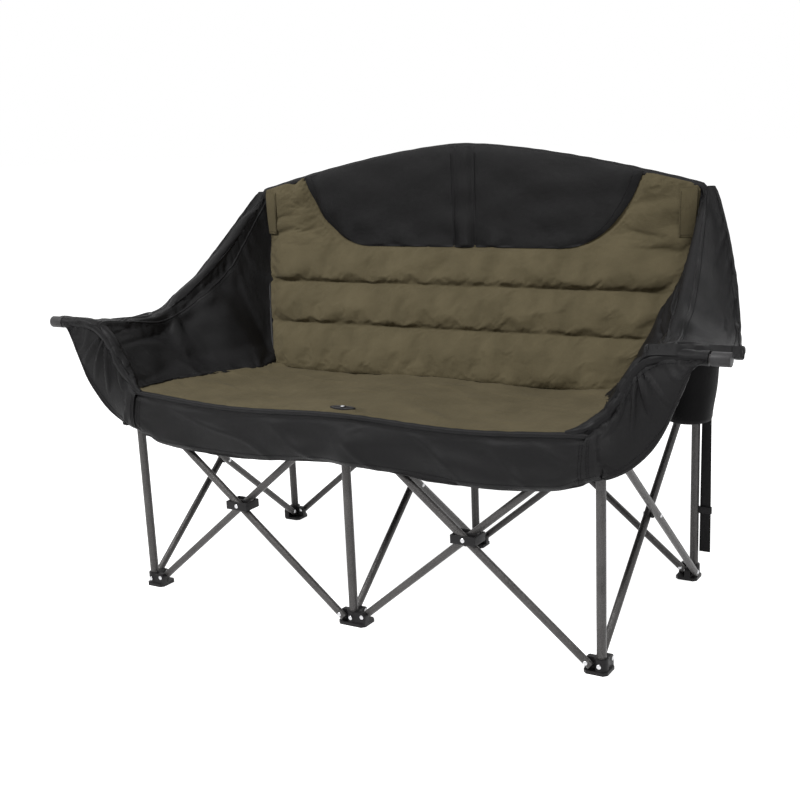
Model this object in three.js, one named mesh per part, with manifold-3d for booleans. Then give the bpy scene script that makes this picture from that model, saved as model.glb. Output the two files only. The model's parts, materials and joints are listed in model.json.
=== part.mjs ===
import * as THREE from "three";
import { mergeVertices } from "three/addons/utils/BufferGeometryUtils.js";
import Module from "manifold-3d";

const wasm = await Module();
wasm.setup();

// Millimetres, +Z up, front is -Y, origin on the floor under the middle of the foot grid.
// Frame grid: posts stand in three columns and two rows, one square bay apart.
const BAY = 555;
const ROW = BAY / 2;
const COLUMNS = { left: -BAY, center: 0, right: BAY };
const ROWS = { front: -ROW, back: ROW };

// Steel tube of the crosses, which also slides inside the wider tube of the posts.
const TUBE_R = 8;
const TUBE_BORE = 6.8;
const POST_R = 9.5;
const POST_BORE = 8.3;
const TUBE_SIDES = 12;
const TUBE_END = 11;
const GAP = 0.3;

// Scissor pivots: distance from the post axis, height at the foot and at the bracket.
const PIVOT_OUT = 26;
const PIVOT_LOW = 22;
const PIVOT_HIGH = 438;
const TUBE_SHIFT = 10.5;
const LUG_T = 2 * (TUBE_SHIFT - TUBE_R - GAP);
const LUG_R = 8;
const CHEEK = 11;
const PIN_R = 2.6;
const PIN_HOLE = PIN_R + GAP;
const PIN_HEAD_R = 5;
const PIN_HEAD_T = 2;
const PIN_SIDES = 8;
const CROSS_MID = (PIVOT_LOW + PIVOT_HIGH) / 2;
const CROSS_RUN = BAY - 2 * PIVOT_OUT;
const CROSS_DIR = new THREE.Vector2(CROSS_RUN, PIVOT_HIGH - PIVOT_LOW).normalize();

// Posts.
const LEG_FOOT = 8;
const LEG_TOP = 395;
const INNER_LOW = 110;
const INNER_TOP = 429.5;

// Plastic feet and brackets.
const SOLE_T = 7;
const SOLE_REACH = 33;
const SOLE_SIDE = 15.5;
const SOLE_CHAMFER = 7;
const SOCKET_R = 13.5;
const SOCKET_TOP = 31;
const POST_RIVET_Z = 18;
const POST_RIVET_OUT = 1.5;
const SLEEVE_LOW = 404;
const SLEEVE_TOP_FRONT = 434;
const SLEEVE_TOP_BACK = 446;
const SLEEVE_SIDES = 14;

// Cross hubs: open box round the two tubes.
const HUB_HALF = 27.5;
const HUB_WALL = 3.5;
const HUB_TALL = 18;
const HUB_STUB = 6;

// Arm ends of the front crosses: elbows in the arm tube, then the cap.
const ARM_STRAIGHT = 16;
const ELBOW_X = 633;
const ELBOW_Z = 610;
const ARM_TIP = 775;
const BEND_LOW = 45;
const BEND_HIGH = 50;
const CAP_R = 13;
const CAP_FROM = 751;
const CAP_TIP = 785;
const CAP_SIDES = 16;
const SLEEVE_R = 13;
const SLEEVE_FROM = 478;
const SLEEVE_END = 747;
const ROOM_START = 60;
const ROOM_PAST = 90;

// Seat cloth.
const SEAT_Z = 465;
const SEAT_T = 10;
const SEAT_FRONT = -297.6;
const SEAT_SPLIT = -7;
const SEAT_BACK = 251;
const SEAT_HALF_FRONT = 548;
const SEAT_HALF_BACK = 456;
const SEAT_NARROW_FROM = -210;
const SEAT_NARROW_TO = 45;
const SEAT_CORNER_RISE = 8;
const SEAT_BAY_SAG = 9;
const SEAT_ROLL = 7;
const SEAT_ROLL_DEPTH = 14;

// Backrest: slanted channelled lower part, upright head part in front of the posts.
const JOIN_Y = 110;
const HEAD_Y = 262;
const HEAD_Z = 750;
const JOIN_Z = 472;
const CHANNELS = 3;
const PUFF = 20;
const SEAM_T = 5;
const BACK_REAR = 5.4;
const HEAD_SWELL = 6;
const BACK_HALF_LOW = 456;
const BACK_HALF_GAIN = 108;
const TOP_MID = 969;
const TOP_DROP = 99;
const TOP_HALF = 578;
const BACK_TOP_SIDE = 861;
const POCKET_HALF = 12.5;
const POCKET_DEEP = ROW + 14.5;
const POCKET_TALL = 74;
const POCKET_ROOF = 3;
const SIDE_POST_TOP = BACK_TOP_SIDE - POCKET_ROOF;
const UPRIGHT_TOP = { left: SIDE_POST_TOP, center: TOP_MID - 14, right: SIDE_POST_TOP };

// Front cloth hanging below the seat edge.
const APRON_Y = -299.8;
const APRON_T = 3.6;
const APRON_HALF = SEAT_HALF_FRONT - 8;
const APRON_LOW = 353;
const APRON_SAG = 14;
const APRON_END_RISE = 22;
const APRON_FOLDS = 7;
const APRON_FOLD_DEEP = 0.6;

// Arm fronts: lower hem from the front cloth up to the arm tube, drawn by two pulls.
const ARM_HEM_LOW = [640, 405];
const ARM_HEM_HIGH = [690, 480];
const ARM_HEM_TIP = [726, 600];
const ARM_BOW = 6;

// Side wings, from the seat side over a ridge to a loose outer hem.
const WING_T = 7;
const WING_BACK = 258;
const RIDGE_X = [633, 571];
const RIDGE_Z = [612, 859];
const RIDGE_FROM = 0.3;
const HEM_X = [799, 592];
const HEM_Z = [607, 865];
const HEM_DIP = 28;
const RIDGE_PULL = 5;
const ROOT_IN = 40;
const ROOT_LIFT = 5;
const ROOT_TURN_FROM = 30;
const ROOT_TURN_TO = 20;

// Cup holders hung under a round hole of each wing.
const CUP_X = 676;
const CUP_Y = -150;
const CUP_LOW = 470;
const CUP_LOW_R = 42;
const CUP_TOP_R = 55;
const CUP_REACH = 640;
const CUP_ROUND = 9;
const CUP_WALL = 3;
const CUP_HOLE_R = 46;
const CUP_SIDES = 20;

// Grommet plate on the seat over the middle front leg.
const PLATE_LONG = 30;
const PLATE_WIDE = 12;
const PLATE_T = 3;
const BOSS_R = 7;
const STUD_R = 5;

// Hanging strap beside the right upright, with its slide buckle.
const STRAP_W = 20;
const STRAP_T = 2;
const STRAP_X = BAY + SOCKET_R + GAP + STRAP_W / 2;
const STRAP_Y = ROWS.back + 1.5;
const STRAP_LOW = 62;
const STRAP_TOP = SLEEVE_TOP_BACK - 2;
const BUCKLE_Z = 160;
const BUCKLE_TALL = 16;
const BUCKLE_DEEP = 8;
const BUCKLE_RIM = 4;

const paint = new THREE.MeshStandardMaterial({ color: 0x4e4c4c, roughness: 0.45, metalness: 0.6 });
const plastic = new THREE.MeshStandardMaterial({ color: 0x1e1d1e, roughness: 0.5, metalness: 0 });
const grey = new THREE.MeshStandardMaterial({ color: 0x464546, roughness: 0.55, metalness: 0 });
const olive = new THREE.MeshStandardMaterial({ color: 0x69614e, roughness: 0.9, metalness: 0 });
const black = new THREE.MeshStandardMaterial({ color: 0x262526, roughness: 0.9, metalness: 0 });

const chair = new THREE.Group();
const vec = (x, y, z) => new THREE.Vector3(x, y, z);
const mix = THREE.MathUtils.lerp;
const smooth = THREE.MathUtils.smoothstep;

function solidFrom(geometry) {
  const loose = geometry.index ? geometry.toNonIndexed() : geometry;
  const bare = new THREE.BufferGeometry();
  bare.setAttribute("position", loose.getAttribute("position"));
  const merged = mergeVertices(bare, 1e-4);
  const triVerts = new Uint32Array(merged.index.array);
  const vertProperties = merged.attributes.position.array;
  const made = new wasm.Manifold(new wasm.Mesh({ numProp: 3, vertProperties, triVerts }));
  if (made.volume() > 0) return made;
  const turned = triVerts.slice().reverse();
  return new wasm.Manifold(new wasm.Mesh({ numProp: 3, vertProperties, triVerts: turned }));
}

function addPiece(name, solid, material) {
  const mesh = solid.getMesh();
  const geometry = new THREE.BufferGeometry();
  geometry.setAttribute("position", new THREE.BufferAttribute(mesh.vertProperties, 3));
  geometry.setIndex(new THREE.BufferAttribute(mesh.triVerts, 1));
  const piece = new THREE.Mesh(geometry, material);
  piece.name = name;
  chair.add(piece);
}

// A shape of revolution about +Y, laid from one point towards another.
function revolve(profile, from, to, sides) {
  const geometry = new THREE.LatheGeometry(profile, sides);
  const turn = new THREE.Quaternion();
  turn.setFromUnitVectors(vec(0, 1, 0), to.clone().sub(from).normalize());
  geometry.applyQuaternion(turn);
  geometry.translate(from.x, from.y, from.z);
  return solidFrom(geometry);
}

function rod(radius, from, to, sides = PIN_SIDES) {
  const length = from.distanceTo(to);
  const profile = [new THREE.Vector2(0, 0), new THREE.Vector2(radius, 0)];
  profile.push(new THREE.Vector2(radius, length), new THREE.Vector2(0, length));
  return revolve(profile, from, to, sides);
}

function pipe(outer, bore, from, to, sides = TUBE_SIDES) {
  const length = from.distanceTo(to);
  const profile = [new THREE.Vector2(bore, 0), new THREE.Vector2(outer, 0)];
  profile.push(new THREE.Vector2(outer, length), new THREE.Vector2(bore, length));
  profile.push(new THREE.Vector2(bore, 0));
  return revolve(profile, from, to, sides);
}

function block(low, high) {
  const size = high.clone().sub(low);
  const geometry = new THREE.BoxGeometry(size.x, size.y, size.z);
  geometry.translate((low.x + high.x) / 2, (low.y + high.y) / 2, (low.z + high.z) / 2);
  return solidFrom(geometry);
}

function plate(shape, thickness, steps = 6) {
  const options = { depth: thickness, bevelEnabled: false, curveSegments: steps };
  return new THREE.ExtrudeGeometry(shape, options);
}

// A curve that stops only at its own stations, so that straight runs cost one step.
class Stations extends THREE.Curve {
  constructor(points) {
    super();
    this.points = points;
  }
  getPoint(t) {
    const place = t * (this.points.length - 1);
    const index = Math.min(Math.floor(place + 1e-9), this.points.length - 2);
    return this.points[index].clone().lerp(this.points[index + 1], place - index);
  }
  getPointAt(u) {
    return this.getPoint(u);
  }
  getTangentAt(u) {
    const last = this.points.length - 1;
    const index = Math.round(u * last);
    const before = this.points[Math.max(index - 1, 0)];
    const here = this.points[index];
    const after = this.points[Math.min(index + 1, last)];
    const arrive = here.clone().sub(before).normalize();
    const leave = after.clone().sub(here).normalize();
    return arrive.add(leave).normalize();
  }
}

function sweepPipe(points, outer, bore) {
  const ring = new THREE.Shape().absarc(0, 0, outer, 0, 2 * Math.PI, false);
  ring.holes.push(new THREE.Path().absarc(0, 0, bore, 0, 2 * Math.PI, true));
  const extrudePath = new Stations(points);
  const options = { steps: points.length - 1, extrudePath, curveSegments: TUBE_SIDES / 2 };
  return solidFrom(new THREE.ExtrudeGeometry(ring, options));
}

// Rounds one corner of a polyline with a few stations on a quadratic curve.
function corner(before, at, after, radius, count) {
  const start = at.clone().add(before.clone().sub(at).setLength(radius));
  const end = at.clone().add(after.clone().sub(at).setLength(radius));
  return new THREE.QuadraticBezierCurve3(start, at, end).getPoints(count);
}

// A closed soft piece between a front and a back face, each a function of two parameters.
function softSolid(across, along, front, back) {
  const points = [];
  const faces = [];
  const row = across + 1;
  const layer = row * (along + 1);
  for (const face of [front, back])
    for (let j = 0; j <= along; j++)
      for (let i = 0; i <= across; i++) points.push(...face(i / across, j / along).toArray());
  for (let j = 0; j < along; j++)
    for (let i = 0; i < across; i++) {
      const a = j * row + i;
      faces.push(a, a + 1, a + row + 1, a, a + row + 1, a + row);
      const b = a + layer;
      faces.push(b, b + row + 1, b + 1, b, b + row, b + row + 1);
    }
  const rim = [];
  for (let i = 0; i < across; i++) rim.push(i);
  for (let j = 0; j < along; j++) rim.push(j * row + across);
  for (let i = across; i > 0; i--) rim.push(along * row + i);
  for (let j = along; j > 0; j--) rim.push(j * row);
  rim.forEach((a, k) => {
    const b = rim[(k + 1) % rim.length];
    faces.push(a, a + layer, b + layer, a, b + layer, b);
  });
  const geometry = new THREE.BufferGeometry();
  geometry.setAttribute("position", new THREE.Float32BufferAttribute(points, 3));
  geometry.setIndex(faces);
  return solidFrom(geometry);
}

// A sheet of even thickness about a middle surface.
function sheet(across, along, middle, thickness) {
  const step = 1e-3;
  const offset = (side) => (u, v) => {
    const du = middle(Math.min(u + step, 1), v).sub(middle(Math.max(u - step, 0), v));
    const dv = middle(u, Math.min(v + step, 1)).sub(middle(u, Math.max(v - step, 0)));
    const normal = du.cross(dv).normalize();
    return middle(u, v).addScaledVector(normal, (side * thickness) / 2);
  };
  return softSolid(across, along, offset(1), offset(-1));
}

// Feet, brackets and posts. Each arm is one lug: its direction along X or Y.
function armsOf(column, row) {
  const arms = [{ axis: "y", sign: row === "front" ? 1 : -1 }];
  if (column !== "left") arms.push({ axis: "x", sign: -1 });
  if (column !== "right") arms.push({ axis: "x", sign: 1 });
  return arms;
}

function lug(post, arm, height, low, thick) {
  const shape = new THREE.Shape();
  shape.moveTo(0, low);
  shape.lineTo(PIVOT_OUT + LUG_R, low);
  shape.lineTo(PIVOT_OUT + LUG_R, height);
  shape.absarc(PIVOT_OUT, height, LUG_R, 0, Math.PI / 2, false);
  shape.lineTo(0, height + LUG_R);
  const geometry = plate(shape, LUG_T / 2 + thick, 4);
  geometry.translate(0, 0, -LUG_T / 2);
  const out = arm.axis === "x" ? vec(arm.sign, 0, 0) : vec(0, arm.sign, 0);
  const up = vec(0, 0, 1);
  geometry.applyMatrix4(new THREE.Matrix4().makeBasis(out, up, out.clone().cross(up)));
  geometry.translate(post.x, post.y, 0);
  const pivot = post.clone().addScaledVector(out, PIVOT_OUT).setZ(height);
  const across = out.clone().cross(up).multiplyScalar(2 * thick);
  const hole = rod(PIN_HOLE, pivot.clone().sub(across), pivot.clone().add(across));
  return solidFrom(geometry).subtract(hole);
}

function soleOutline(arms) {
  const reach = (axis, sign) =>
    arms.some((a) => a.axis === axis && a.sign === sign) ? SOLE_REACH : SOLE_SIDE;
  const [x0, x1] = [-reach("x", -1), reach("x", 1)];
  const [y0, y1] = [-reach("y", -1), reach("y", 1)];
  const c = SOLE_CHAMFER;
  const shape = new THREE.Shape();
  shape.moveTo(x0 + c, y0);
  shape.lineTo(x1 - c, y0);
  shape.lineTo(x1, y0 + c);
  shape.lineTo(x1, y1 - c);
  shape.lineTo(x1 - c, y1);
  shape.lineTo(x0 + c, y1);
  shape.lineTo(x0, y1 - c);
  shape.lineTo(x0, y0 + c);
  return shape;
}

function foot(post, arms) {
  const sole = plate(soleOutline(arms), SOLE_T);
  sole.translate(post.x, post.y, 0);
  const at = (z) => post.clone().setZ(z);
  let made = solidFrom(sole).add(rod(SOCKET_R, at(SOLE_T / 2), at(SOCKET_TOP), SLEEVE_SIDES));
  for (const arm of arms) made = made.add(lug(post, arm, PIVOT_LOW, SOLE_T / 2, CHEEK));
  const outer = SOCKET_R + POST_RIVET_OUT;
  const face = vec(0, post.y < 0 ? -outer : outer, POST_RIVET_Z);
  made = made.add(rod(PIN_HEAD_R, at(POST_RIVET_Z), post.clone().add(face)));
  return made.subtract(rod(POST_R + GAP, at(LEG_FOOT - GAP), at(SOCKET_TOP + 1), TUBE_SIDES));
}

function bracket(post, arms, isFront) {
  const at = (z) => post.clone().setZ(z);
  const top = isFront ? SLEEVE_TOP_FRONT : SLEEVE_TOP_BACK;
  let made = rod(SOCKET_R, at(SLEEVE_LOW), at(top), SLEEVE_SIDES);
  for (const arm of arms) made = made.add(lug(post, arm, PIVOT_HIGH, PIVOT_HIGH - LUG_R, LUG_T / 2));
  const bore = isFront ? TUBE_R + GAP : POST_R + GAP;
  const end = isFront ? INNER_TOP + GAP : PIVOT_HIGH + 2 * LUG_R;
  return made.subtract(rod(bore, at(SLEEVE_LOW - 1), at(end), TUBE_SIDES));
}

for (const [row, y] of Object.entries(ROWS))
  for (const [column, x] of Object.entries(COLUMNS)) {
    const post = vec(x, y, 0);
    const at = (z) => vec(x, y, z);
    const arms = armsOf(column, row);
    const place = row + "_" + column;
    addPiece("foot_" + place, foot(post, arms), plastic);
    addPiece("bracket_" + place, bracket(post, arms, row === "front"), plastic);
    if (row === "front") {
      addPiece("leg_" + place, pipe(POST_R, POST_BORE, at(LEG_FOOT), at(LEG_TOP)), paint);
      addPiece("inner_" + place, pipe(TUBE_R, TUBE_BORE, at(INNER_LOW), at(INNER_TOP)), paint);
    } else {
      const top = at(UPRIGHT_TOP[column]);
      addPiece("upright_" + column, pipe(POST_R, POST_BORE, at(LEG_FOOT), top), paint);
    }
  }

// The arm tube beyond its bracket, as stations in the plane of its cross.
function armPoints(side, y, start, end, inward) {
  const lift = vec(side * CROSS_DIR.x, 0, CROSS_DIR.y);
  const pivot = vec(side * (BAY - PIVOT_OUT), y, PIVOT_HIGH);
  const first = pivot.clone().addScaledVector(lift, ARM_STRAIGHT);
  const second = vec(side * ELBOW_X, y, ELBOW_Z);
  const tip = vec(side * end, y, ELBOW_Z);
  const low = corner(pivot.clone().addScaledVector(lift, -BEND_LOW), first, second, inward, 3);
  const high = corner(first, second, tip, BEND_HIGH, 5);
  return [...start, ...low, ...high, tip];
}

// One tube of a cross between a foot pivot and a bracket pivot, with a rivet stub at each.
function crossTube(low, high, shiftAxis, shift, armSide) {
  const move = shiftAxis.clone().multiplyScalar(shift);
  const from = low.clone().add(move);
  const to = high.clone().add(move);
  const lift = to.clone().sub(from).normalize().multiplyScalar(TUBE_END);
  const start = from.clone().sub(lift);
  let made;
  if (armSide) {
    const points = armPoints(armSide, from.y, [start], ARM_TIP, ARM_STRAIGHT / 2);
    made = sweepPipe(points, TUBE_R, TUBE_BORE);
  } else made = pipe(TUBE_R, TUBE_BORE, start, to.clone().add(lift));
  const into = Math.sign(shift) * (TUBE_SHIFT - TUBE_R + 0.8);
  const along = (point, distance) => point.clone().addScaledVector(shiftAxis, distance);
  const pins = [
    [low, CHEEK],
    [high, LUG_T / 2],
  ];
  for (const [pivot, face] of pins) {
    const past = -Math.sign(shift) * (face + GAP);
    const end = past - Math.sign(shift) * PIN_HEAD_T;
    made = made.add(rod(PIN_R, along(pivot, into), along(pivot, end)));
    made = made.add(rod(PIN_HEAD_R, along(pivot, past), along(pivot, end)));
  }
  const middle = low.clone().add(high).multiplyScalar(0.5);
  return made.subtract(rod(PIN_HOLE, middle, middle.clone().add(move)));
}

function hub(x, y) {
  const half = HUB_TALL / 2;
  const deep = TUBE_SHIFT + TUBE_R + GAP;
  const wide = HUB_HALF - HUB_WALL;
  const box = (a, b, w, h) => block(vec(x - w, y + a, CROSS_MID - h), vec(x + w, y + b, CROSS_MID + h));
  let made = box(-deep - HUB_WALL, deep + HUB_WALL, HUB_HALF, half);
  made = made.subtract(box(-deep, -LUG_T / 2, wide, HUB_TALL));
  made = made.subtract(box(LUG_T / 2, deep, wide, HUB_TALL));
  return made.add(rod(PIN_R, vec(x, y - HUB_STUB, CROSS_MID), vec(x, y + HUB_STUB, CROSS_MID)));
}

// Crosses along the width: the rising tube runs behind the falling one.
const armY = { right: ROWS.front + TUBE_SHIFT, left: ROWS.front - TUBE_SHIFT };
for (const [row, y] of Object.entries(ROWS))
  for (const side of ["left", "right"]) {
    const near = side === "left" ? -BAY : 0;
    const low = near + PIVOT_OUT;
    const high = near + BAY - PIVOT_OUT;
    const axis = vec(0, 1, 0);
    const place = row + "_" + side;
    const riseArm = row === "front" && side === "right" ? 1 : 0;
    const fallArm = row === "front" && side === "left" ? -1 : 0;
    const rise = [vec(low, y, PIVOT_LOW), vec(high, y, PIVOT_HIGH)];
    const fall = [vec(high, y, PIVOT_LOW), vec(low, y, PIVOT_HIGH)];
    addPiece("cross_" + place + "_rising", crossTube(...rise, axis, TUBE_SHIFT, riseArm), paint);
    addPiece("cross_" + place + "_falling", crossTube(...fall, axis, -TUBE_SHIFT, fallArm), paint);
    addPiece("hub_" + place, hub(near + BAY / 2, y), plastic);
  }

// Braces along the depth, with a riveted spacer where they cross.
for (const [column, x] of Object.entries(COLUMNS)) {
  const ends = [ROWS.front + PIVOT_OUT, ROWS.back - PIVOT_OUT];
  const axis = vec(1, 0, 0);
  const toBack = [vec(x, ends[0], PIVOT_LOW), vec(x, ends[1], PIVOT_HIGH)];
  const toFront = [vec(x, ends[1], PIVOT_LOW), vec(x, ends[0], PIVOT_HIGH)];
  addPiece("brace_" + column + "_to_back", crossTube(...toBack, axis, -TUBE_SHIFT), paint);
  addPiece("brace_" + column + "_to_front", crossTube(...toFront, axis, TUBE_SHIFT), paint);
  const at = (d) => vec(x + d, 0, CROSS_MID);
  const spacer = rod(LUG_R, at(-LUG_T / 2), at(LUG_T / 2), TUBE_SIDES);
  addPiece("spacer_" + column, spacer.add(rod(PIN_R, at(-HUB_STUB), at(HUB_STUB))), plastic);
}

// Seat surface: corners lifted by the arm tubes, each bay sagging a little, front edge rolled over.
function seatTop(x, y) {
  const w = Math.abs(x) / BAY;
  const sag = SEAT_BAY_SAG * Math.sin(Math.PI * w) ** 2;
  const roll = Math.max(0, 1 - (y - SEAT_FRONT) / SEAT_ROLL_DEPTH);
  return SEAT_Z + SEAT_CORNER_RISE * w ** 3 - sag - SEAT_ROLL * roll ** 2;
}

function seatHalf(y) {
  return mix(SEAT_HALF_FRONT, SEAT_HALF_BACK, smooth(y, SEAT_NARROW_FROM, SEAT_NARROW_TO));
}

function seatPart(from, to, crowd) {
  const face = (drop) => (u, v) => {
    const y = mix(from, to, v ** crowd);
    const x = mix(-1, 1, u) * seatHalf(y);
    return vec(x, y, seatTop(x, y) - drop);
  };
  return softSolid(20, 6, face(0), face(SEAT_T));
}

// Room round an arm tube, cut from the cloth that it passes.
function armRoom(name, radius) {
  const side = name === "left" ? -1 : 1;
  const y = armY[name];
  const pivot = vec(side * (BAY - PIVOT_OUT), y, PIVOT_HIGH);
  const start = pivot.clone().sub(vec(side * CROSS_DIR.x, 0, CROSS_DIR.y).multiplyScalar(ROOM_START));
  const points = armPoints(side, y, [start], ARM_TIP, ARM_STRAIGHT / 2);
  const ring = new THREE.Shape().absarc(0, 0, radius, 0, 2 * Math.PI, false);
  const options = { steps: points.length - 1, extrudePath: new Stations(points), curveSegments: 6 };
  const at = (x) => vec(side * x, y, ELBOW_Z);
  const cap = rod(CAP_R + GAP, at(CAP_FROM - 1), at(CAP_TIP + ROOM_PAST), CAP_SIDES);
  return solidFrom(new THREE.ExtrudeGeometry(ring, options)).add(cap);
}

const plateAt = (z) => vec(0, ROWS.front, z);
const studRoom = rod(STUD_R + 2 * GAP, plateAt(SEAT_Z - 4 * SEAT_T), plateAt(SEAT_Z + SEAT_T));
let seatFront = seatPart(SEAT_FRONT, SEAT_SPLIT - GAP / 2, 1.7).subtract(studRoom);
for (const name of ["left", "right"]) seatFront = seatFront.subtract(armRoom(name, SLEEVE_R + 2 * GAP));
addPiece("seat_front", seatFront, olive);
addPiece("seat_rear", seatPart(SEAT_SPLIT + GAP / 2, SEAT_BACK, 1), olive);

// The grommet plate carries a boss above and a stud down to the bracket.
const oval = new THREE.Shape().absellipse(0, 0, PLATE_LONG, PLATE_WIDE, 0, 2 * Math.PI);
const plateSolid = plate(oval, PLATE_T, 12);
plateSolid.translate(0, ROWS.front, SEAT_Z + GAP);
const bossTop = plateAt(SEAT_Z + PLATE_T + 2);
let grommet = solidFrom(plateSolid).add(rod(BOSS_R, plateAt(SEAT_Z + 1), bossTop, TUBE_SIDES));
grommet = grommet.add(rod(STUD_R, plateAt(PIVOT_HIGH + LUG_R + GAP), plateAt(SEAT_Z + 2)));
addPiece("grommet", grommet, plastic);

// Front cloth with its shallow main folds.
function apronLow(x) {
  const w = Math.abs(x) / BAY;
  const end = smooth(Math.abs(x), 0.85 * BAY, BAY);
  return APRON_LOW - APRON_SAG * Math.sin(Math.PI * w) ** 2 + APRON_END_RISE * end;
}

function apron(u, v) {
  const x = mix(-1, 1, u) * APRON_HALF;
  const top = seatTop(x, SEAT_FRONT) - 1;
  const fold = Math.sin(2 * APRON_FOLDS * Math.PI * u) * (1 - v);
  return vec(x, APRON_Y + APRON_FOLD_DEEP * fold, mix(apronLow(x), top, v));
}
addPiece("apron", sheet(28, 3, apron, APRON_T), black);

// Arm fronts: a panel from the hem up to the sleeve round the arm tube.
function armFront(name) {
  const side = name === "left" ? -1 : 1;
  const y = armY[name];
  const bent = armPoints(side, y, [], SLEEVE_END, ARM_STRAIGHT / 2).slice(3);
  const above = (SLEEVE_FROM - bent[0].z) / (bent[1].z - bent[0].z);
  const points = [bent[0].clone().lerp(bent[1], above), ...bent.slice(1)];
  const hem = new THREE.CubicBezierCurve(
    new THREE.Vector2(APRON_HALF + 4, apronLow(BAY)),
    new THREE.Vector2(...ARM_HEM_LOW),
    new THREE.Vector2(...ARM_HEM_HIGH),
    new THREE.Vector2(...ARM_HEM_TIP),
  );
  const length = points.slice(1).reduce((sum, p, i) => sum + p.distanceTo(points[i]), 0);
  const onPath = (u) => {
    let left = u * length;
    for (let i = 1; i < points.length; i++) {
      const run = points[i].distanceTo(points[i - 1]);
      if (left <= run || i === points.length - 1)
        return points[i - 1].clone().lerp(points[i], Math.min(left / run, 1));
      left -= run;
    }
    return points[0].clone();
  };
  const panel = (u, v) => {
    const top = onPath(u);
    const low = hem.getPoint(u);
    const bow = ARM_BOW * Math.sin(Math.PI * u) * Math.sin(Math.PI * v);
    const deep = mix(APRON_Y, y - SLEEVE_R + APRON_T / 2, v ** 6);
    return vec(mix(side * low.x, top.x, v) + side * bow, deep, mix(low.y, top.z, v));
  };
  return sheet(10, 6, panel, APRON_T).add(sweepPipe(points, SLEEVE_R, TUBE_R + 2 * GAP));
}

// Wings: cross-sections from the seat or back side up to the ridge and out to the hem.
function backHalf(z) {
  const s = THREE.MathUtils.clamp((z - JOIN_Z) / (BACK_TOP_SIDE - JOIN_Z), 0, 1);
  return BACK_HALF_LOW + BACK_HALF_GAIN * Math.sin((Math.PI * s) / 2);
}

function backZ(y) {
  return JOIN_Z + ((y - JOIN_Y) * (HEAD_Z - JOIN_Z)) / (HEAD_Y - JOIN_Y);
}

function wingRoot(y) {
  const level = seatTop(seatHalf(y), Math.max(y, SEAT_FRONT + ROOT_IN));
  const seat = vec(seatHalf(y) + WING_T, y, level + ROOT_LIFT);
  const back = vec(backHalf(backZ(y)) + WING_T + 2, y, backZ(y));
  return seat.lerp(back, smooth(y, JOIN_Y - ROOT_TURN_FROM, JOIN_Y + ROOT_TURN_TO));
}

function wingRidge(t, y) {
  const rise = Math.max(0, (t - RIDGE_FROM) / (1 - RIDGE_FROM)) ** 1.3;
  return vec(mix(...RIDGE_X, t), y, mix(...RIDGE_Z, rise));
}

function wingHem(t, y) {
  const draw = 0.72 * t + 0.28 * t ** 5;
  const rise = Math.max(0, 2 * t - 1) ** 1.5;
  const dip = HEM_DIP * Math.sin(Math.PI * Math.min(t / 0.75, 1));
  return vec(mix(...HEM_X, draw), y, mix(...HEM_Z, rise) - dip);
}

// A point of the wing cloth: a curve from root to hem drawn towards the ridge.
function wingPoint(name, u, v) {
  const side = name === "left" ? -1 : 1;
  const y = mix(armY[name] + SLEEVE_R + 0.5, WING_BACK, u);
  const root = wingRoot(y);
  const ridge = wingRidge(u, y);
  const hem = wingHem(u, y);
  const [near, mid, far] = [(1 - v) ** 2, 2 * RIDGE_PULL * v * (1 - v), v ** 2];
  const point = root.multiplyScalar(near).addScaledVector(ridge, mid).addScaledVector(hem, far);
  point.divideScalar(near + mid + far);
  return vec(side * point.x, y, point.z);
}

function wing(name, thickness) {
  return sheet(14, 9, (u, v) => wingPoint(name, u, v), thickness);
}

// A tapered round bag whose rim follows the underside of the wing.
function cupHolder(name, side) {
  const tall = CUP_REACH - CUP_LOW;
  const profile = [
    new THREE.Vector2(0, 0),
    new THREE.Vector2(CUP_LOW_R - CUP_ROUND, 0),
    new THREE.Vector2(CUP_LOW_R, CUP_ROUND),
    new THREE.Vector2(CUP_TOP_R, tall),
    new THREE.Vector2(CUP_TOP_R - CUP_WALL, tall),
    new THREE.Vector2(CUP_LOW_R - CUP_WALL, CUP_ROUND),
    new THREE.Vector2(CUP_LOW_R - CUP_ROUND, CUP_WALL),
    new THREE.Vector2(0, CUP_WALL),
  ];
  const at = (z) => vec(side * CUP_X, CUP_Y, z);
  const bag = revolve(profile, at(CUP_LOW), at(CUP_REACH), CUP_SIDES);
  const lifted = (u, v) => wingPoint(name, u, v).add(vec(0, 0, CUP_REACH - CUP_LOW));
  const above = softSolid(14, 9, (u, v) => wingPoint(name, u, v), lifted);
  return bag.subtract(above.add(wing(name, WING_T + 2 * GAP)));
}

for (const name of ["left", "right"]) {
  const side = name === "left" ? -1 : 1;
  addPiece("arm_front_" + name, armFront(name), black);
  const axis = (z) => vec(side * CUP_X, CUP_Y, z);
  const hole = rod(CUP_HOLE_R, axis(CUP_LOW), axis(HEAD_Z), CUP_SIDES);
  const room = armRoom(name, TUBE_R + GAP).add(hole);
  addPiece("wing_" + name, wing(name, WING_T).subtract(room), black);
  addPiece("cup_holder_" + name, cupHolder(name, side), black);
  const at = (x) => vec(side * x, armY[name], ELBOW_Z);
  const cap = rod(CAP_R, at(CAP_FROM), at(CAP_TIP), CAP_SIDES);
  const socket = rod(TUBE_R + GAP, at(CAP_FROM - 1), at(ARM_TIP + GAP), TUBE_SIDES);
  addPiece("arm_cap_" + name, cap.subtract(socket), grey);
}

// Backrest cloth, offset along Y from its middle line.
function puff(x, z, half) {
  const run = ((z - JOIN_Z) / (HEAD_Z - JOIN_Z)) * CHANNELS;
  const swell = Math.abs(Math.sin(Math.PI * run)) ** 0.7;
  const edge = 1 - Math.min(1, Math.abs(x) / half) ** 8;
  return SEAM_T + (PUFF - SEAM_T) * swell * edge;
}

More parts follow.
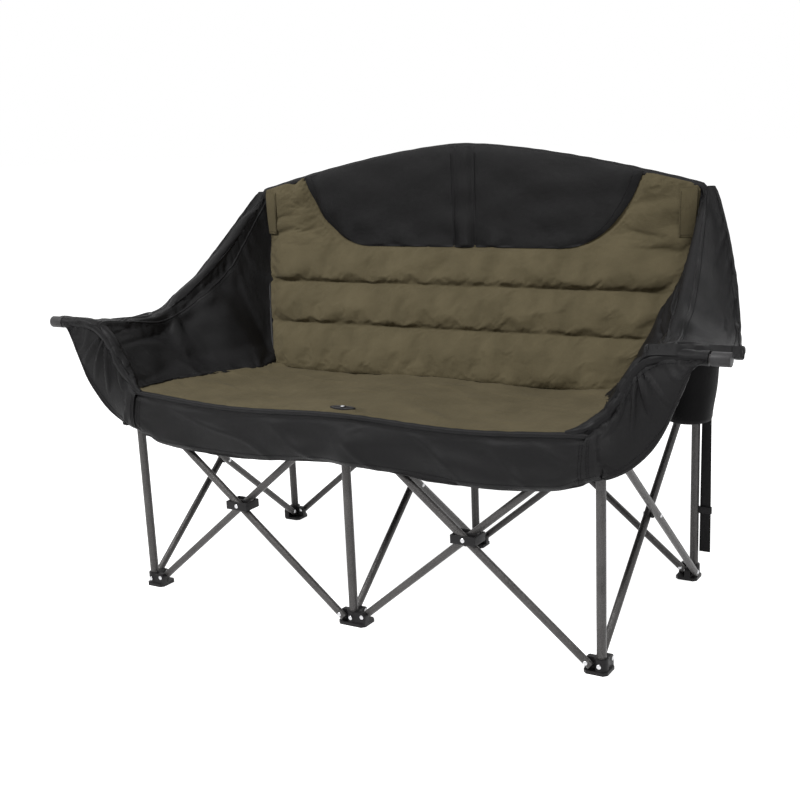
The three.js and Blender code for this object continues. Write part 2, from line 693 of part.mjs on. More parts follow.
function backLower(u, v, isFront) {
  const s = mix(-1, 1, u);
  const low = seatTop(s * BACK_HALF_LOW, JOIN_Y) + 2 * GAP;
  const z = mix(low, HEAD_Z - GAP / 2, v);
  const x = s * backHalf(z);
  const y = JOIN_Y + ((z - JOIN_Z) * (HEAD_Y - JOIN_Y)) / (HEAD_Z - JOIN_Z);
  return vec(x, isFront ? y - puff(x, z, backHalf(z)) : y + BACK_REAR, z);
}
addPiece(
  "back_lower",
  softSolid(16, 18, (u, v) => backLower(u, v, true), (u, v) => backLower(u, v, false)),
  olive,
);

function backTop(x) {
  return TOP_MID - TOP_DROP * (Math.abs(x) / TOP_HALF) ** 1.5;
}

function backUpper(u, v, isFront) {
  const s = mix(-1, 1, u);
  const low = HEAD_Z + GAP / 2;
  const z = mix(low, backTop(s * (BACK_HALF_LOW + BACK_HALF_GAIN)), v);
  const x = s * backHalf(z);
  const swell = HEAD_SWELL * Math.sin(Math.PI * v) * (1 - Math.abs(s) ** 6);
  return vec(x, isFront ? HEAD_Y - SEAM_T - swell : HEAD_Y + BACK_REAR, z);
}

let head = softSolid(20, 6, (u, v) => backUpper(u, v, true), (u, v) => backUpper(u, v, false));
for (const [column, x] of Object.entries(COLUMNS)) {
  const top = UPRIGHT_TOP[column] + POCKET_ROOF;
  const low = top - POCKET_TALL;
  const at = (z) => vec(x, ROWS.back, z);
  const pocket = block(vec(x - POCKET_HALF, HEAD_Y + 2, low), vec(x + POCKET_HALF, POCKET_DEEP, top));
  const room = rod(POST_R + 2 * GAP, at(low - 1), at(top - POCKET_ROOF + 2 * GAP), TUBE_SIDES);
  head = head.add(pocket).subtract(room);
}
addPiece("back_upper", head, olive);

// Webbing strap hanging beside the right upright, threaded through its slide buckle.
function strapBox(wide, deep, low, high) {
  return block(vec(STRAP_X - wide, STRAP_Y - deep, low), vec(STRAP_X + wide, STRAP_Y + deep, high));
}
addPiece("strap", strapBox(STRAP_W / 2, STRAP_T / 2, STRAP_LOW, STRAP_TOP), black);
const [slideLow, slideHigh] = [BUCKLE_Z - BUCKLE_TALL / 2, BUCKLE_Z + BUCKLE_TALL / 2];
const slide = strapBox(STRAP_W / 2 + BUCKLE_RIM, BUCKLE_DEEP / 2, slideLow, slideHigh);
const slot = strapBox(STRAP_W / 2 + GAP, STRAP_T / 2 + GAP, slideLow - 1, slideHigh + 1);
addPiece("buckle", slide.subtract(slot), plastic);

export default chair;
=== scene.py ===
import json
import math
import bmesh
import bpy
import numpy as np
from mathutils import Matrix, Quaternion, Vector


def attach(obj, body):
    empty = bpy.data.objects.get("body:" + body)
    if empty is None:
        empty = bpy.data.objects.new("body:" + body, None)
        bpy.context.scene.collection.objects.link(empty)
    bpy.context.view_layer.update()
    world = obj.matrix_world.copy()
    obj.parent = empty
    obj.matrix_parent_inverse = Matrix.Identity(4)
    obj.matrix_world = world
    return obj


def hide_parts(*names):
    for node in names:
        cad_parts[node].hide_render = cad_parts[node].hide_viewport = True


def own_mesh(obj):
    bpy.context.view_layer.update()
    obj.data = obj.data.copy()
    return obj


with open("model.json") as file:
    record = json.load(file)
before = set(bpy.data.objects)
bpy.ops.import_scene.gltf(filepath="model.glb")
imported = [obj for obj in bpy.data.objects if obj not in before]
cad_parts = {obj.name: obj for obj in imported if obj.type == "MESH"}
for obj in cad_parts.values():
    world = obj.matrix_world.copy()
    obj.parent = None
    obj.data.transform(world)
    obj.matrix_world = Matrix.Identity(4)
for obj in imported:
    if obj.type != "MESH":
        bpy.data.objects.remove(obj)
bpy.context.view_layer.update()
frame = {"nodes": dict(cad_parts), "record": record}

scene = bpy.context.scene
scene.view_settings.view_transform = "Standard"


def lerp(a, b, t):
    return a + (b - a) * t


def ease(x, a, b):  # smooth step from 0 at a to 1 at b
    t = np.clip((x - a) / (b - a), 0, 1)
    return t * t * (3 - 2 * t)


def unit(v):
    return v / np.maximum(np.linalg.norm(v, axis=-1, keepdims=True), 1e-12)


def ripple(p, size, seed, count=9):  # smooth random field: sine waves of about one size in seeded directions
    draw = np.random.default_rng(seed)
    heading = unit(draw.normal(size=(count, p.shape[-1])))
    pitch = 2 * np.pi / size * draw.uniform(0.6, 1.5, count)
    phase = draw.uniform(0, 2 * np.pi, count)
    return np.sin(p @ (heading * pitch[:, None]).T + phase).sum(-1) / math.sqrt(count)


def gridNormals(grid):  # cross product of the two directions of a grid of points
    return unit(np.cross(np.gradient(grid, axis=1), np.gradient(grid, axis=0)))


def runOf(path):  # distance along a line of points
    return np.concatenate([[0], np.cumsum(np.linalg.norm(np.diff(path, axis=0), axis=1))])


def pickAt(values, run, at):  # rows of values at distances along a line
    return np.stack([np.interp(at, run, values[:, k]) for k in range(3)], axis=-1)


def along(path, share, values=None):  # points, or values kept beside them, at shares of a line's length
    run = runOf(path)
    values = path if values is None else values
    return pickAt(values, run, np.asarray(share) * run[-1])


def eased(path, count, rounds):  # points at even shares of a line, its corners worn round
    line = along(np.asarray(path, float), np.linspace(0, 1, count))
    for step in range(rounds):
        line[1:-1] = (line[:-2] + 2 * line[1:-1] + line[2:]) / 4
    return line


def gridUv(grid):  # run along each row from its middle, and the mean run up the columns, in metres
    across = np.linalg.norm(np.diff(grid, axis=1), axis=2)
    u = np.concatenate([np.zeros((len(grid), 1)), np.cumsum(across, axis=1)], axis=1)
    u -= u[:, -1:] / 2
    up = np.linalg.norm(np.diff(grid, axis=0), axis=2).mean(axis=1)
    v = np.concatenate([[0], np.cumsum(up)])
    return np.stack([u, np.broadcast_to(v[:, None], u.shape)], axis=-1)


def gridQuads(rows, columns, wrap=False):  # corner numbers of each cell
    span = columns if wrap else columns - 1
    i, j = np.meshgrid(np.arange(span), np.arange(rows - 1))
    a = j * columns + i
    b = j * columns + (i + 1) % columns
    return np.stack([a, b, b + columns, a + columns], axis=-1).reshape(-1, 4)


def cappedCells(rows, columns, turn=False):  # cells of a grid closed round its columns, with a cap at each end
    cells = gridQuads(rows, columns, wrap=True)
    first, last = np.arange(columns), np.arange((rows - 1) * columns, rows * columns)
    if turn:
        return list(cells[:, ::-1]) + [first, last[::-1]]
    return list(cells) + [first[::-1], last]


def makePiece(name, points, faces, materials, uv=None, slots=None, angle=50):
    mesh = bpy.data.meshes.new(name)
    corners = [face.tolist() if hasattr(face, "tolist") else list(face) for face in faces]
    mesh.from_pydata(np.asarray(points).reshape(-1, 3).tolist(), [], corners)
    mesh.shade_smooth()
    mesh.set_sharp_from_angle(angle=math.radians(angle))
    if uv is not None:
        layer = mesh.uv_layers.new(name="weave")
        corner = np.zeros(len(mesh.loops), np.int32)
        mesh.loops.foreach_get("vertex_index", corner)
        spread = np.asarray(uv).reshape(-1, 2)[corner]
        layer.data.foreach_set("uv", spread.astype(np.float32).ravel())
    for material in materials:
        mesh.materials.append(material)
    if slots is not None:
        mesh.polygons.foreach_set("material_index", np.asarray(slots, np.int32))
    piece = bpy.data.objects.new(name, mesh)
    scene.collection.objects.link(piece)
    return piece


def makePad(name, front, back, materials, keep=None, normals=None, angle=60, dark=None, uv=None):
    # closed form: two grids of the same size, walls along the rim and round any cells left out,
    # where given the normals and the run that the front shares with the piece beyond its edge,
    # and where given the front cells in the second material
    rows, columns = front.shape[:2]
    quads = gridQuads(rows, columns)
    points = np.concatenate([front.reshape(-1, 3), back.reshape(-1, 3)])
    corner = points[quads]
    facing = np.cross(corner[:, 1] - corner[:, 0], corner[:, 3] - corner[:, 0])
    if (facing * (front - back).reshape(-1, 3)[quads[:, 0]]).sum() < 0:
        quads = quads[:, ::-1]
    tone = np.zeros(len(quads)) if dark is None else dark.ravel()
    if keep is not None:
        quads, tone = quads[keep.ravel()], tone[keep.ravel()]
    layer = rows * columns
    start, end = quads.ravel(), np.roll(quads, -1, axis=1).ravel()
    rim = ~np.isin(start * layer + end, end * layer + start)
    a, b = start[rim], end[rim]
    wall = np.stack([b, a, a + layer, b + layer], axis=-1)
    faces = np.concatenate([quads, quads[:, ::-1] + layer, wall])
    used, packed = np.unique(faces, return_inverse=True)
    uv = (gridUv(front) if uv is None else uv).reshape(-1, 2)
    uv = np.concatenate([uv, uv + 0.37])
    rear = float(len(materials) > 1)
    slots = np.concatenate([tone, np.full(len(quads), rear), np.zeros(len(wall))])
    piece = makePiece(name, points[used], packed.reshape(-1, 4), materials, uv[used], slots, angle)
    if normals is not None:
        shared = np.zeros((len(faces) * 4, 3))
        shared[:quads.size] = normals.reshape(-1, 3)[quads.ravel()]
        piece.data.normals_split_custom_set(shared.tolist())
    return piece


def makeSheet(name, middle, thickness, materials, keep=None):  # cloth of even thickness about a middle grid
    lift = gridNormals(middle) * thickness / 2
    return makePad(name, middle + lift, middle - lift, materials, keep)


def sweep(name, path, normals, profile, materials, angle=50):
    # a closed profile carried along a path: its first axis lies across the normals, its second along them
    path = np.asarray(path, float)
    normals = np.broadcast_to(np.asarray(normals, float), path.shape)
    profile = np.broadcast_to(np.asarray(profile, float), (len(path),) + np.shape(profile)[-2:])
    tangent = unit(np.gradient(path, axis=0))
    side = unit(np.cross(tangent, normals))
    lift = np.cross(side, tangent)
    points = path[:, None] + profile[..., :1] * side[:, None] + profile[..., 1:] * lift[:, None]
    turn = runOf(np.pad(profile[0], ((0, 0), (0, 1))))
    uv = np.stack(np.meshgrid(turn, runOf(path)), axis=-1)
    return makePiece(name, points, cappedCells(*points.shape[:2], turn=True), materials, uv, None, angle)


def oval(wide, tall, count=16, power=2.0):  # closed outline from a rounded rectangle to an ellipse
    a = np.linspace(0, 2 * np.pi, count, endpoint=False)
    c, s = np.cos(a), np.sin(a)
    x = wide * np.sign(c) * np.abs(c) ** (2 / power)
    y = tall * np.sign(s) * np.abs(s) ** (2 / power)
    return np.stack([x, y], axis=-1)


sewnRoll = {"step": 0.006, "wave": 0.035, "endShare": 0.35, "endSteps": 2.5, "sides": 12}


def piping(name, path, normals, wide, tall, material, seed, uneven=0.09):
    # a sewn roll along an edge: an oval that swells and thins a little, drawn in at both ends
    path = np.asarray(path, float)
    count = max(12, int(runOf(path)[-1] / sewnRoll["step"]))
    share = np.linspace(0, 1, count)
    line = along(path, share)
    facing = unit(along(path, share, np.broadcast_to(np.asarray(normals, float), path.shape)))
    swell = 1 + uneven * ripple(line, sewnRoll["wave"], seed)
    fromEnd = np.minimum(share, 1 - share) * count
    swell *= sewnRoll["endShare"] + (1 - sewnRoll["endShare"]) * ease(fromEnd, 0, sewnRoll["endSteps"])
    shape = oval(wide, tall, sewnRoll["sides"])[None] * swell[:, None, None]
    return sweep(name, line, facing, shape, [material], 60)


thread = {"length": 0.0036, "pitch": 0.0048, "radius": 0.0008, "sides": 6, "girth": (0.3, 1, 1, 0.3),
          "reach": (-1, -0.7, 0.7, 1), "proud": 0.0002}


def stitches(name, lines, material):
    # rounded dashes at an even pitch along each line of points with normals, as one mesh
    turn = np.linspace(0, 2 * np.pi, thread["sides"], endpoint=False)
    half = thread["length"] / 2
    girth = thread["radius"] * np.array(thread["girth"])[:, None]
    reach = half * np.array(thread["reach"])[:, None]
    dash = np.stack([reach + 0 * turn, girth * np.cos(turn), girth * np.sin(turn)], axis=-1).reshape(-1, 3)
    ends = np.array([[0, 1, 2, 3], [0, 3, 4, 5]])
    rings = len(thread["reach"])
    lastRing = (rings - 1) * thread["sides"]
    cells = np.concatenate([gridQuads(rings, thread["sides"], wrap=True), ends[:, ::-1], ends + lastRing])
    everyDash = []
    for path, normals in lines:
        path = np.asarray(path, float)
        normals = np.broadcast_to(np.asarray(normals, float), path.shape)
        run = runOf(path)
        at = (np.arange(int(run[-1] / thread["pitch"])) + 0.5) * thread["pitch"]
        tangent = unit(pickAt(path, run, at + half) - pickAt(path, run, at - half))
        side = unit(np.cross(pickAt(normals, run, at), tangent))
        basis = np.stack([tangent, side, np.cross(tangent, side)], axis=1)
        everyDash.append(pickAt(path, run, at)[:, None] + dash @ basis)
    points = np.concatenate(everyDash)
    faces = (cells[None] + len(dash) * np.arange(len(points))[:, None, None]).reshape(-1, 4)
    return makePiece(name, points, faces, [material], angle=80)


def joined(name, pieces):  # several pieces made one mesh
    bpy.ops.object.select_all(action="DESELECT")
    for piece in pieces:
        piece.select_set(True)
    bpy.context.view_layer.objects.active = pieces[0]
    if len(pieces) > 1:
        bpy.ops.object.join()
    pieces[0].name = name
    pieces[0].data.name = name
    return pieces[0]


def carry(piece, body, slot, *nodes):  # rides a body, stands for CAD nodes
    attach(piece, body)
    if nodes:
        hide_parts(*nodes)
    return piece


trialCloth = {"quality": 5, "mass": 0.2, "air_damping": 2.0, "tension_stiffness": 20.0, "compression_stiffness": 20.0,
              "shear_stiffness": 8.0, "vertex_group_mass": "held", "use_pressure": True}


def settled(grid, held, spare, push, limit, weight=0.0, bending=0.5, frames=20):
    # cloth with spare length on the grid, held where asked, buckles under pressure and is read back
    rows, columns = grid.shape[:2]
    mesh = bpy.data.meshes.new("trial")
    mesh.from_pydata(grid.reshape(-1, 3).tolist(), [], gridQuads(rows, columns).tolist())
    trial = bpy.data.objects.new("trial", mesh)
    scene.collection.objects.link(trial)
    trial.vertex_groups.new(name="held").add(np.flatnonzero(held.ravel()).tolist(), 1.0, "REPLACE")
    cloth = trial.modifiers.new("cloth", "CLOTH")
    for key, value in trialCloth.items():
        setattr(cloth.settings, key, value)
    cloth.settings.bending_stiffness = bending
    cloth.settings.shrink_min = -spare
    cloth.settings.uniform_pressure_force = push
    cloth.settings.effector_weights.gravity = weight
    cloth.collision_settings.use_collision = False
    cloth.point_cache.frame_start = 1
    cloth.point_cache.frame_end = frames
    for step in range(1, frames + 1):
        scene.frame_set(step)
    result = trial.evaluated_get(bpy.context.evaluated_depsgraph_get())
    points = np.empty(rows * columns * 3, np.float32)
    result.data.vertices.foreach_get("co", points)
    moved = points.reshape(grid.shape).astype(float) - grid
    far = np.maximum(np.linalg.norm(moved, axis=-1, keepdims=True), 1e-9)
    bpy.data.objects.remove(trial)
    bpy.data.meshes.remove(mesh)
    scene.frame_set(1)
    return grid + moved * (limit * np.tanh(far / limit) / far)


view = {"eye": (1.339, -2.230, 0.997), "aim": (0.012, 0.0, 0.372), "lens": 53.97, "roll": -0.04,
        "shiftX": -0.0235, "shiftY": 0.0293, "sensor": 36}
lens = bpy.data.cameras.new("photo_view")
lens.sensor_width = view["sensor"]
lens.lens = view["lens"]
lens.shift_x, lens.shift_y = view["shiftX"], view["shiftY"]
camera = bpy.data.objects.new("photo_view", lens)
scene.collection.objects.link(camera)
camera.location = view["eye"]
camera.rotation_mode = "QUATERNION"
aim = (Vector(view["aim"]) - Vector(view["eye"])).to_track_quat("-Z", "Y")
camera.rotation_quaternion = aim @ Quaternion((0, 0, 1), view["roll"])
scene.camera = camera

lamps = {"key": ((-1.8, -3.2, 4.6), 1.7, 212), "fill": ((2.6, -1.9, 4.0), 1.5, 36),
         "rear": ((1.2, 3.0, 2.6), 2.6, 28)}
studio = {"sky": 0.14, "floorColour": 0.80, "floorGlow": 1.0, "floorSize": 60.0, "lampAim": (0, 0, 0.4)}


def softLamp(name, place, size, power):
    light = bpy.data.lights.new(name, "AREA")
    light.size, light.energy = size, power
    lamp = bpy.data.objects.new(name, light)
    lamp.location = place
    lamp.rotation_mode = "QUATERNION"
    lamp.rotation_quaternion = (Vector(studio["lampAim"]) - Vector(place)).to_track_quat("-Z", "Y")
    scene.collection.objects.link(lamp)


for lampName, (place, size, power) in lamps.items():
    softLamp(lampName, place, size, power)


def addNode(tree, kind, **settings):
    node = tree.nodes.new("ShaderNode" + kind)
    for key, value in settings.items():
        if hasattr(node, key):
            setattr(node, key, value)
        else:
            node.inputs[key.replace("_", " ")].default_value = value
    return node


def reckon(tree, operation, *values):  # a Math node fed by sockets and plain numbers
    node = addNode(tree, "Math", operation=operation)
    for slot, value in zip(node.inputs, values):
        if isinstance(value, float):
            slot.default_value = value
        else:
            tree.links.new(value, slot)
    return node.outputs[0]


def seenRay(tree):  # 1 for what the camera sees, straight, mirrored or through a clear surface
    path = addNode(tree, "LightPath")
    seen = path.outputs["Is Camera Ray"]
    for other in ("Is Glossy Ray", "Is Transmission Ray"):
        seen = reckon(tree, "MAXIMUM", seen, path.outputs[other])
    return seen


world = bpy.data.worlds.new("studio")
world.use_nodes = True
scene.world = world
skyTree = world.node_tree
skyTree.nodes.clear()
soft = addNode(skyTree, "Background", Strength=studio["sky"])
white = addNode(skyTree, "Background", Strength=1.0)
for sky in (soft, white):
    sky.inputs["Color"].default_value = (1, 1, 1, 1)
choose = addNode(skyTree, "MixShader")
skyTree.links.new(seenRay(skyTree), choose.inputs[0])
skyTree.links.new(soft.outputs[0], choose.inputs[1])
skyTree.links.new(white.outputs[0], choose.inputs[2])
skyTree.links.new(choose.outputs[0], addNode(skyTree, "OutputWorld").inputs[0])

floorMat = bpy.data.materials.new("pale_floor")
floorMat.use_nodes = True
floorTree = floorMat.node_tree
floorTree.nodes.clear()
matte = addNode(floorTree, "BsdfDiffuse")
matte.inputs["Color"].default_value = (studio["floorColour"],) * 3 + (1,)
glow = addNode(floorTree, "Emission")
strength = reckon(floorTree, "MULTIPLY", seenRay(floorTree), studio["floorGlow"])
floorTree.links.new(strength, glow.inputs["Strength"])
both = addNode(floorTree, "AddShader")
floorTree.links.new(matte.outputs[0], both.inputs[0])
floorTree.links.new(glow.outputs[0], both.inputs[1])
floorTree.links.new(both.outputs[0], addNode(floorTree, "OutputMaterial").inputs[0])
reach = np.linspace(-studio["floorSize"], studio["floorSize"], 3)
flat = np.stack(np.meshgrid(reach, reach) + [np.zeros((3, 3))], axis=-1)
floor = makePiece("floor", flat, gridQuads(3, 3), [floorMat])
print("camera, light and floor set")


def srgb(r, g, b):
    c = np.array([r, g, b]) / 255
    return tuple(np.where(c < 0.04045, c / 12.92, ((c + 0.055) / 1.055) ** 2.4)) + (1.0,)


def newLook(name, coordinates):  # an empty material with its shader and the place its patterns read
    material = bpy.data.materials.new(name)
    material.use_nodes = True
    tree = material.node_tree
    return material, tree, tree.nodes["Principled BSDF"], addNode(tree, "TexCoord").outputs[coordinates]


def cloudy(tree, place, scale, detail, roughness):
    noise = addNode(tree, "TexNoise", Scale=scale, Detail=detail, Roughness=roughness)
    tree.links.new(place, noise.inputs["Vector"])
    return noise.outputs["Fac"]


def tinted(tree, value, stops, target):  # a colour that runs from one stop to the next with a value
    ramp = addNode(tree, "ValToRGB")
    for element, (position, colour) in zip(ramp.color_ramp.elements, stops):
        element.position, element.color = position, colour
    tree.links.new(value, ramp.inputs[0])
    tree.links.new(ramp.outputs[0], target)


def worn(tree, value, span, target):  # roughness between two limits
    wear = addNode(tree, "MapRange")
    wear.inputs["To Min"].default_value, wear.inputs["To Max"].default_value = span
    tree.links.new(value, wear.inputs["Value"])
    tree.links.new(wear.outputs[0], target)


def bumpy(tree, layers, target):  # height, strength and depth of each layer, one on the other
    below = None
    for height, strength, deep in layers:
        bump = addNode(tree, "Bump", Strength=strength, Distance=deep)
        tree.links.new(height, bump.inputs["Height"])
        if below:
            tree.links.new(below, bump.inputs["Normal"])
        below = bump.outputs[0]
    tree.links.new(below, target)


def wovenCloth(name, dark, light, look):
    # plain weave: two crossing wave bands on the cloth's own run, under cloudy dye and small crinkles
    material, tree, shader, place = newLook(name, "UV")
    bands = []
    for direction in ("X", "Y"):
        band = addNode(tree, "TexWave", wave_type="BANDS", bands_direction=direction, Scale=look["threads"])
        band.inputs["Distortion"].default_value = look["uneven"]
        tree.links.new(place, band.inputs["Vector"])
        bands.append(band.outputs["Fac"])
    weave = reckon(tree, "MULTIPLY", *bands)
    cloud = cloudy(tree, place, look["cloud"], 6.0, 0.6)
    fuzz = cloudy(tree, place, look["fuzz"], 3.0, 0.7)
    crinkle = cloudy(tree, place, look["crinkle"], 4.0, 0.55)
    share = reckon(tree, "MULTIPLY_ADD", weave, look["weaveShare"], cloud)
    grain = reckon(tree, "MULTIPLY_ADD", fuzz, look["fuzzShare"], share)
    tinted(tree, grain, ((look["darkTo"], dark), (1.0, light)), shader.inputs["Base Color"])
    worn(tree, cloud, look["rough"], shader.inputs["Roughness"])
    layers = ((weave, look["threadBump"], look["threadDeep"]), (crinkle, look["crinkleBump"], look["crinkleDeep"]))
    bumpy(tree, layers, shader.inputs["Normal"])
    shader.inputs["Sheen Weight"].default_value = look["sheen"]
    shader.inputs["Sheen Roughness"].default_value = look["sheenRough"]
    shader.inputs["Specular IOR Level"].default_value = look["gloss"]
    return material


def grainy(name, dark, light, look):
    # moulded, painted or spun skin: two sizes of noise in the colour, a dimpled bump, uneven gloss
    material, tree, shader, place = newLook(name, "Object")
    dimple = addNode(tree, "TexVoronoi", Scale=look["dimple"])
    tree.links.new(place, dimple.inputs["Vector"])
    speck = cloudy(tree, place, look["speck"], 4.0, 0.65)
    haze = cloudy(tree, place, look["haze"], 3.0, 0.5)
    blend = reckon(tree, "MULTIPLY_ADD", haze, look["hazeShare"], speck)
    tinted(tree, blend, zip(look["ramp"], (dark, light)), shader.inputs["Base Color"])
    worn(tree, haze, look["rough"], shader.inputs["Roughness"])
    layers = ((dimple.outputs["Distance"], look["bump"], look["deep"]),
              (speck, look["bump"] * 0.6, look["deep"] * 0.5))
    bumpy(tree, layers, shader.inputs["Normal"])
    shader.inputs["Metallic"].default_value = look["metal"]
    shader.inputs["Specular IOR Level"].default_value = look["gloss"]
    return material


oliveLook = {"threads": 210.0, "cloud": 9.0, "fuzz": 420.0, "crinkle": 38.0, "rough": (0.62, 0.8),
             "uneven": 0.4, "weaveShare": 0.3, "fuzzShare": 0.35, "darkTo": 0.35, "threadBump": 0.6,
             "threadDeep": 0.0004, "crinkleBump": 0.5, "crinkleDeep": 0.005, "sheen": 0.04, "sheenRough": 0.5,
             "gloss": 0.07}
blackLook = {**oliveLook, "rough": (0.40, 0.51), "sheen": 0.0, "gloss": 0.17, "crinkleDeep": 0.0020}
bindingLook = {**blackLook, "threads": 120.0, "threadDeep": 0.0008}
oliveCloth = wovenCloth("olive_cloth", srgb(80, 73, 54), srgb(110, 101, 78), oliveLook)
blackCloth = wovenCloth("black_cloth", srgb(7, 7, 8), srgb(18, 17, 18), blackLook)
liningLook = {**blackLook, "rough": (0.55, 0.7)}
bagLook = {**blackLook, "rough": (0.5, 0.62), "gloss": 0.08}
# lining for the rear and underside: black cloth with a lighter colour, painted light that stands in for the light
# these faces lack
blackLiningPaintedLight = wovenCloth("black_lining_painted_light", srgb(24, 24, 25), srgb(46, 45, 46), liningLook)
# cup holder bag: black cloth with a darker colour, painted shade for the arm's shadow over the bag, and less gloss
bagClothPaintedShade = wovenCloth("bag_cloth_painted_shade", srgb(6, 6, 7), srgb(15, 14, 15), bagLook)
blackBinding = wovenCloth("black_binding", srgb(11, 11, 12), srgb(24, 23, 24), bindingLook)
plainSkin = {"dimple": 900.0, "speck": 700.0, "haze": 22.0, "hazeShare": 0.4, "ramp": (0.4, 1.0),
             "rough": (0.42, 0.6), "bump": 0.25, "deep": 0.0004, "metal": 0.0, "gloss": 0.22}
spun = {**plainSkin, "dimple": 1600.0, "speck": 1200.0, "rough": (0.6, 0.8), "gloss": 0.15}
oliveThread = grainy("olive_thread", srgb(64, 58, 43), srgb(98, 90, 70), spun)
blackThread = grainy("black_thread", srgb(16, 16, 17), srgb(40, 39, 40), spun)
framePaint = grainy("frame_paint", srgb(50, 48, 48), srgb(104, 102, 101), {
    **plainSkin, "dimple": 420.0, "speck": 520.0, "haze": 14.0, "ramp": (0.45, 0.95), "rough": (0.28, 0.44),
    "bump": 0.5, "deep": 0.0009, "metal": 0.3, "gloss": 0.3})
blackPlastic = grainy("black_plastic", srgb(17, 16, 17), srgb(36, 35, 36), plainSkin)
greyPlastic = grainy("grey_plastic", srgb(50, 49, 50), srgb(78, 77, 78), {**plainSkin, "rough": (0.38, 0.52)})
rivetSteel = grainy("rivet_steel", srgb(168, 168, 170), srgb(214, 214, 216), {
    **plainSkin, "dimple": 300.0, "speck": 900.0, "haze": 60.0, "ramp": (0.3, 1.0), "rough": (0.24, 0.42),
    "bump": 0.15, "deep": 0.0002, "metal": 1.0, "gloss": 0.5})
print("materials made")

tubes = {"radius": 0.008, "bore": 0.0068, "postRadius": 0.0095, "postBore": 0.0083, "sides": 28, "endPast": 0.011,
         "bay": 0.555, "pivotOut": 0.026, "pivotLow": 0.022, "pivotHigh": 0.438, "shift": 0.0105,
         "legFoot": 0.008, "legTop": 0.395, "innerLow": 0.110, "innerTop": 0.4295,
         "uprightTop": {"left": 0.858, "center": 0.955, "right": 0.858}, "armStraight": 0.016,
         "elbow": (0.633, 0.610), "armTip": 0.775, "bendLow": 0.045, "bendFoot": 0.014, "bendHigh": 0.050,
         "lip": 0.0004, "mouth": 0.007}
bay = tubes["bay"]
rowY = {"front": -bay / 2, "back": bay / 2}
columnX = {"left": -bay, "center": 0.0, "right": bay}
crossMid = (tubes["pivotLow"] + tubes["pivotHigh"]) / 2
crossLift = unit(np.array([bay - 2 * tubes["pivotOut"], tubes["pivotHigh"] - tubes["pivotLow"]]))
armY = {"right": rowY["front"] + tubes["shift"], "left": rowY["front"] - tubes["shift"]}


def bend(before, at, after, radius, count):  # quadratic curve that rounds one corner of a route
    start = at + unit(before - at) * radius
    end = at + unit(after - at) * radius
    t = np.linspace(0, 1, count)[:, None]
    return (1 - t) ** 2 * start + 2 * t * (1 - t) * at + t ** 2 * end


def armRoute(side, y, tip):  # stations of an arm tube beyond its bracket, in the plane of its cross
    rise = np.array([side * crossLift[0], 0, crossLift[1]])
    pivot = np.array([side * (bay - tubes["pivotOut"]), y, tubes["pivotHigh"]])
    first = pivot + rise * tubes["armStraight"]
    second = np.array([side * tubes["elbow"][0], y, tubes["elbow"][1]])
    end = np.array([side * tip, y, tubes["elbow"][1]])
    low = bend(pivot - rise * tubes["bendLow"], first, second, tubes["bendFoot"], 8)
    high = bend(first, second, end, tubes["bendHigh"], 14)
    return np.concatenate([low, high, [end]])


def openTube(name, path, outer, bore, normal):
    # round wall carried along a path: in at each open end, over its rounded lip and along the outside
    path = np.asarray(path, float)
    head, tail = unit(path[1] - path[0]), unit(path[-1] - path[-2])
    lip, deep = tubes["lip"], tubes["mouth"]
    first = [path[0] + head * deep, path[0] + head * lip / 2, path[0], path[0] + head * lip]
    last = [path[-1] - tail * lip, path[-1], path[-1] - tail * lip / 2, path[-1] - tail * deep]
    stations = np.concatenate([first, path[1:-1], last])
    radii = np.full(len(stations), outer)
    radii[:4] = bore, bore, (outer + bore) / 2, outer
    radii[-4:] = outer, (outer + bore) / 2, bore, bore
    tangent = np.concatenate([[head] * 4, unit(np.gradient(path, axis=0))[1:-1], [tail] * 4])
    side = unit(np.cross(tangent, normal))
    up = np.cross(side, tangent)
    a = np.linspace(0, 2 * np.pi, tubes["sides"], endpoint=False)
    ring = np.cos(a)[None, :, None] * side[:, None] + np.sin(a)[None, :, None] * up[:, None]
    points = stations[:, None] + radii[:, None, None] * ring
    return makePiece(name, points, cappedCells(*points.shape[:2], turn=True), [framePaint], angle=55)


def turned(name, start, axis, profile, material, sides=20):  # radius and run pairs turned about an axis
    axis = unit(np.asarray(axis, float))
    other = np.array([0, 0, 1.0]) if abs(axis[2]) < 0.9 else np.array([1.0, 0, 0])
    side = unit(np.cross(axis, other))
    up = np.cross(axis, side)
    a = np.linspace(0, 2 * np.pi, sides, endpoint=False)
    ring = np.cos(a)[:, None] * side + np.sin(a)[:, None] * up
    radius, run = np.asarray(profile, float).T
    points = np.asarray(start) + run[:, None, None] * axis + radius[:, None, None] * ring[None]
    return makePiece(name, points, cappedCells(len(radius), sides), [material], angle=40)


rivet = {"head": 0.0046, "dome": 0.0019, "shank": 0.0026, "lugHalf": 0.0022, "cheek": 0.011, "gap": 0.0003,
         "point": 0.0004, "sunk": 0.0006, "hubFace": 0.0223, "hubHead": 0.0046, "socketFace": 0.0150, "postZ": 0.018}
rivetsOf = {}


def addRivet(body, pivot, axis, shift, face):  # dome on the tube, shank through the lug, head past its far face
    way = np.asarray(axis, float) * np.sign(shift)
    top = abs(shift) + tubes["radius"] - rivet["sunk"]
    far = top + face + rivet["gap"]
    h, d, s, under = rivet["head"], rivet["dome"], rivet["shank"], rivet["sunk"]
    profile = [(rivet["point"], -d), (h * 0.45, -d * 0.9), (h * 0.8, -d * 0.6), (h, -d * 0.1), (h, under), (s, under),
               (s, far), (h, far), (h, far + d * 0.5), (h * 0.7, far + d), (rivet["point"], far + d * 1.1)]
    start = np.asarray(pivot, float) + way * top
    rivetsOf.setdefault(body, []).append(turned("rivet", start, -way, profile, rivetSteel))


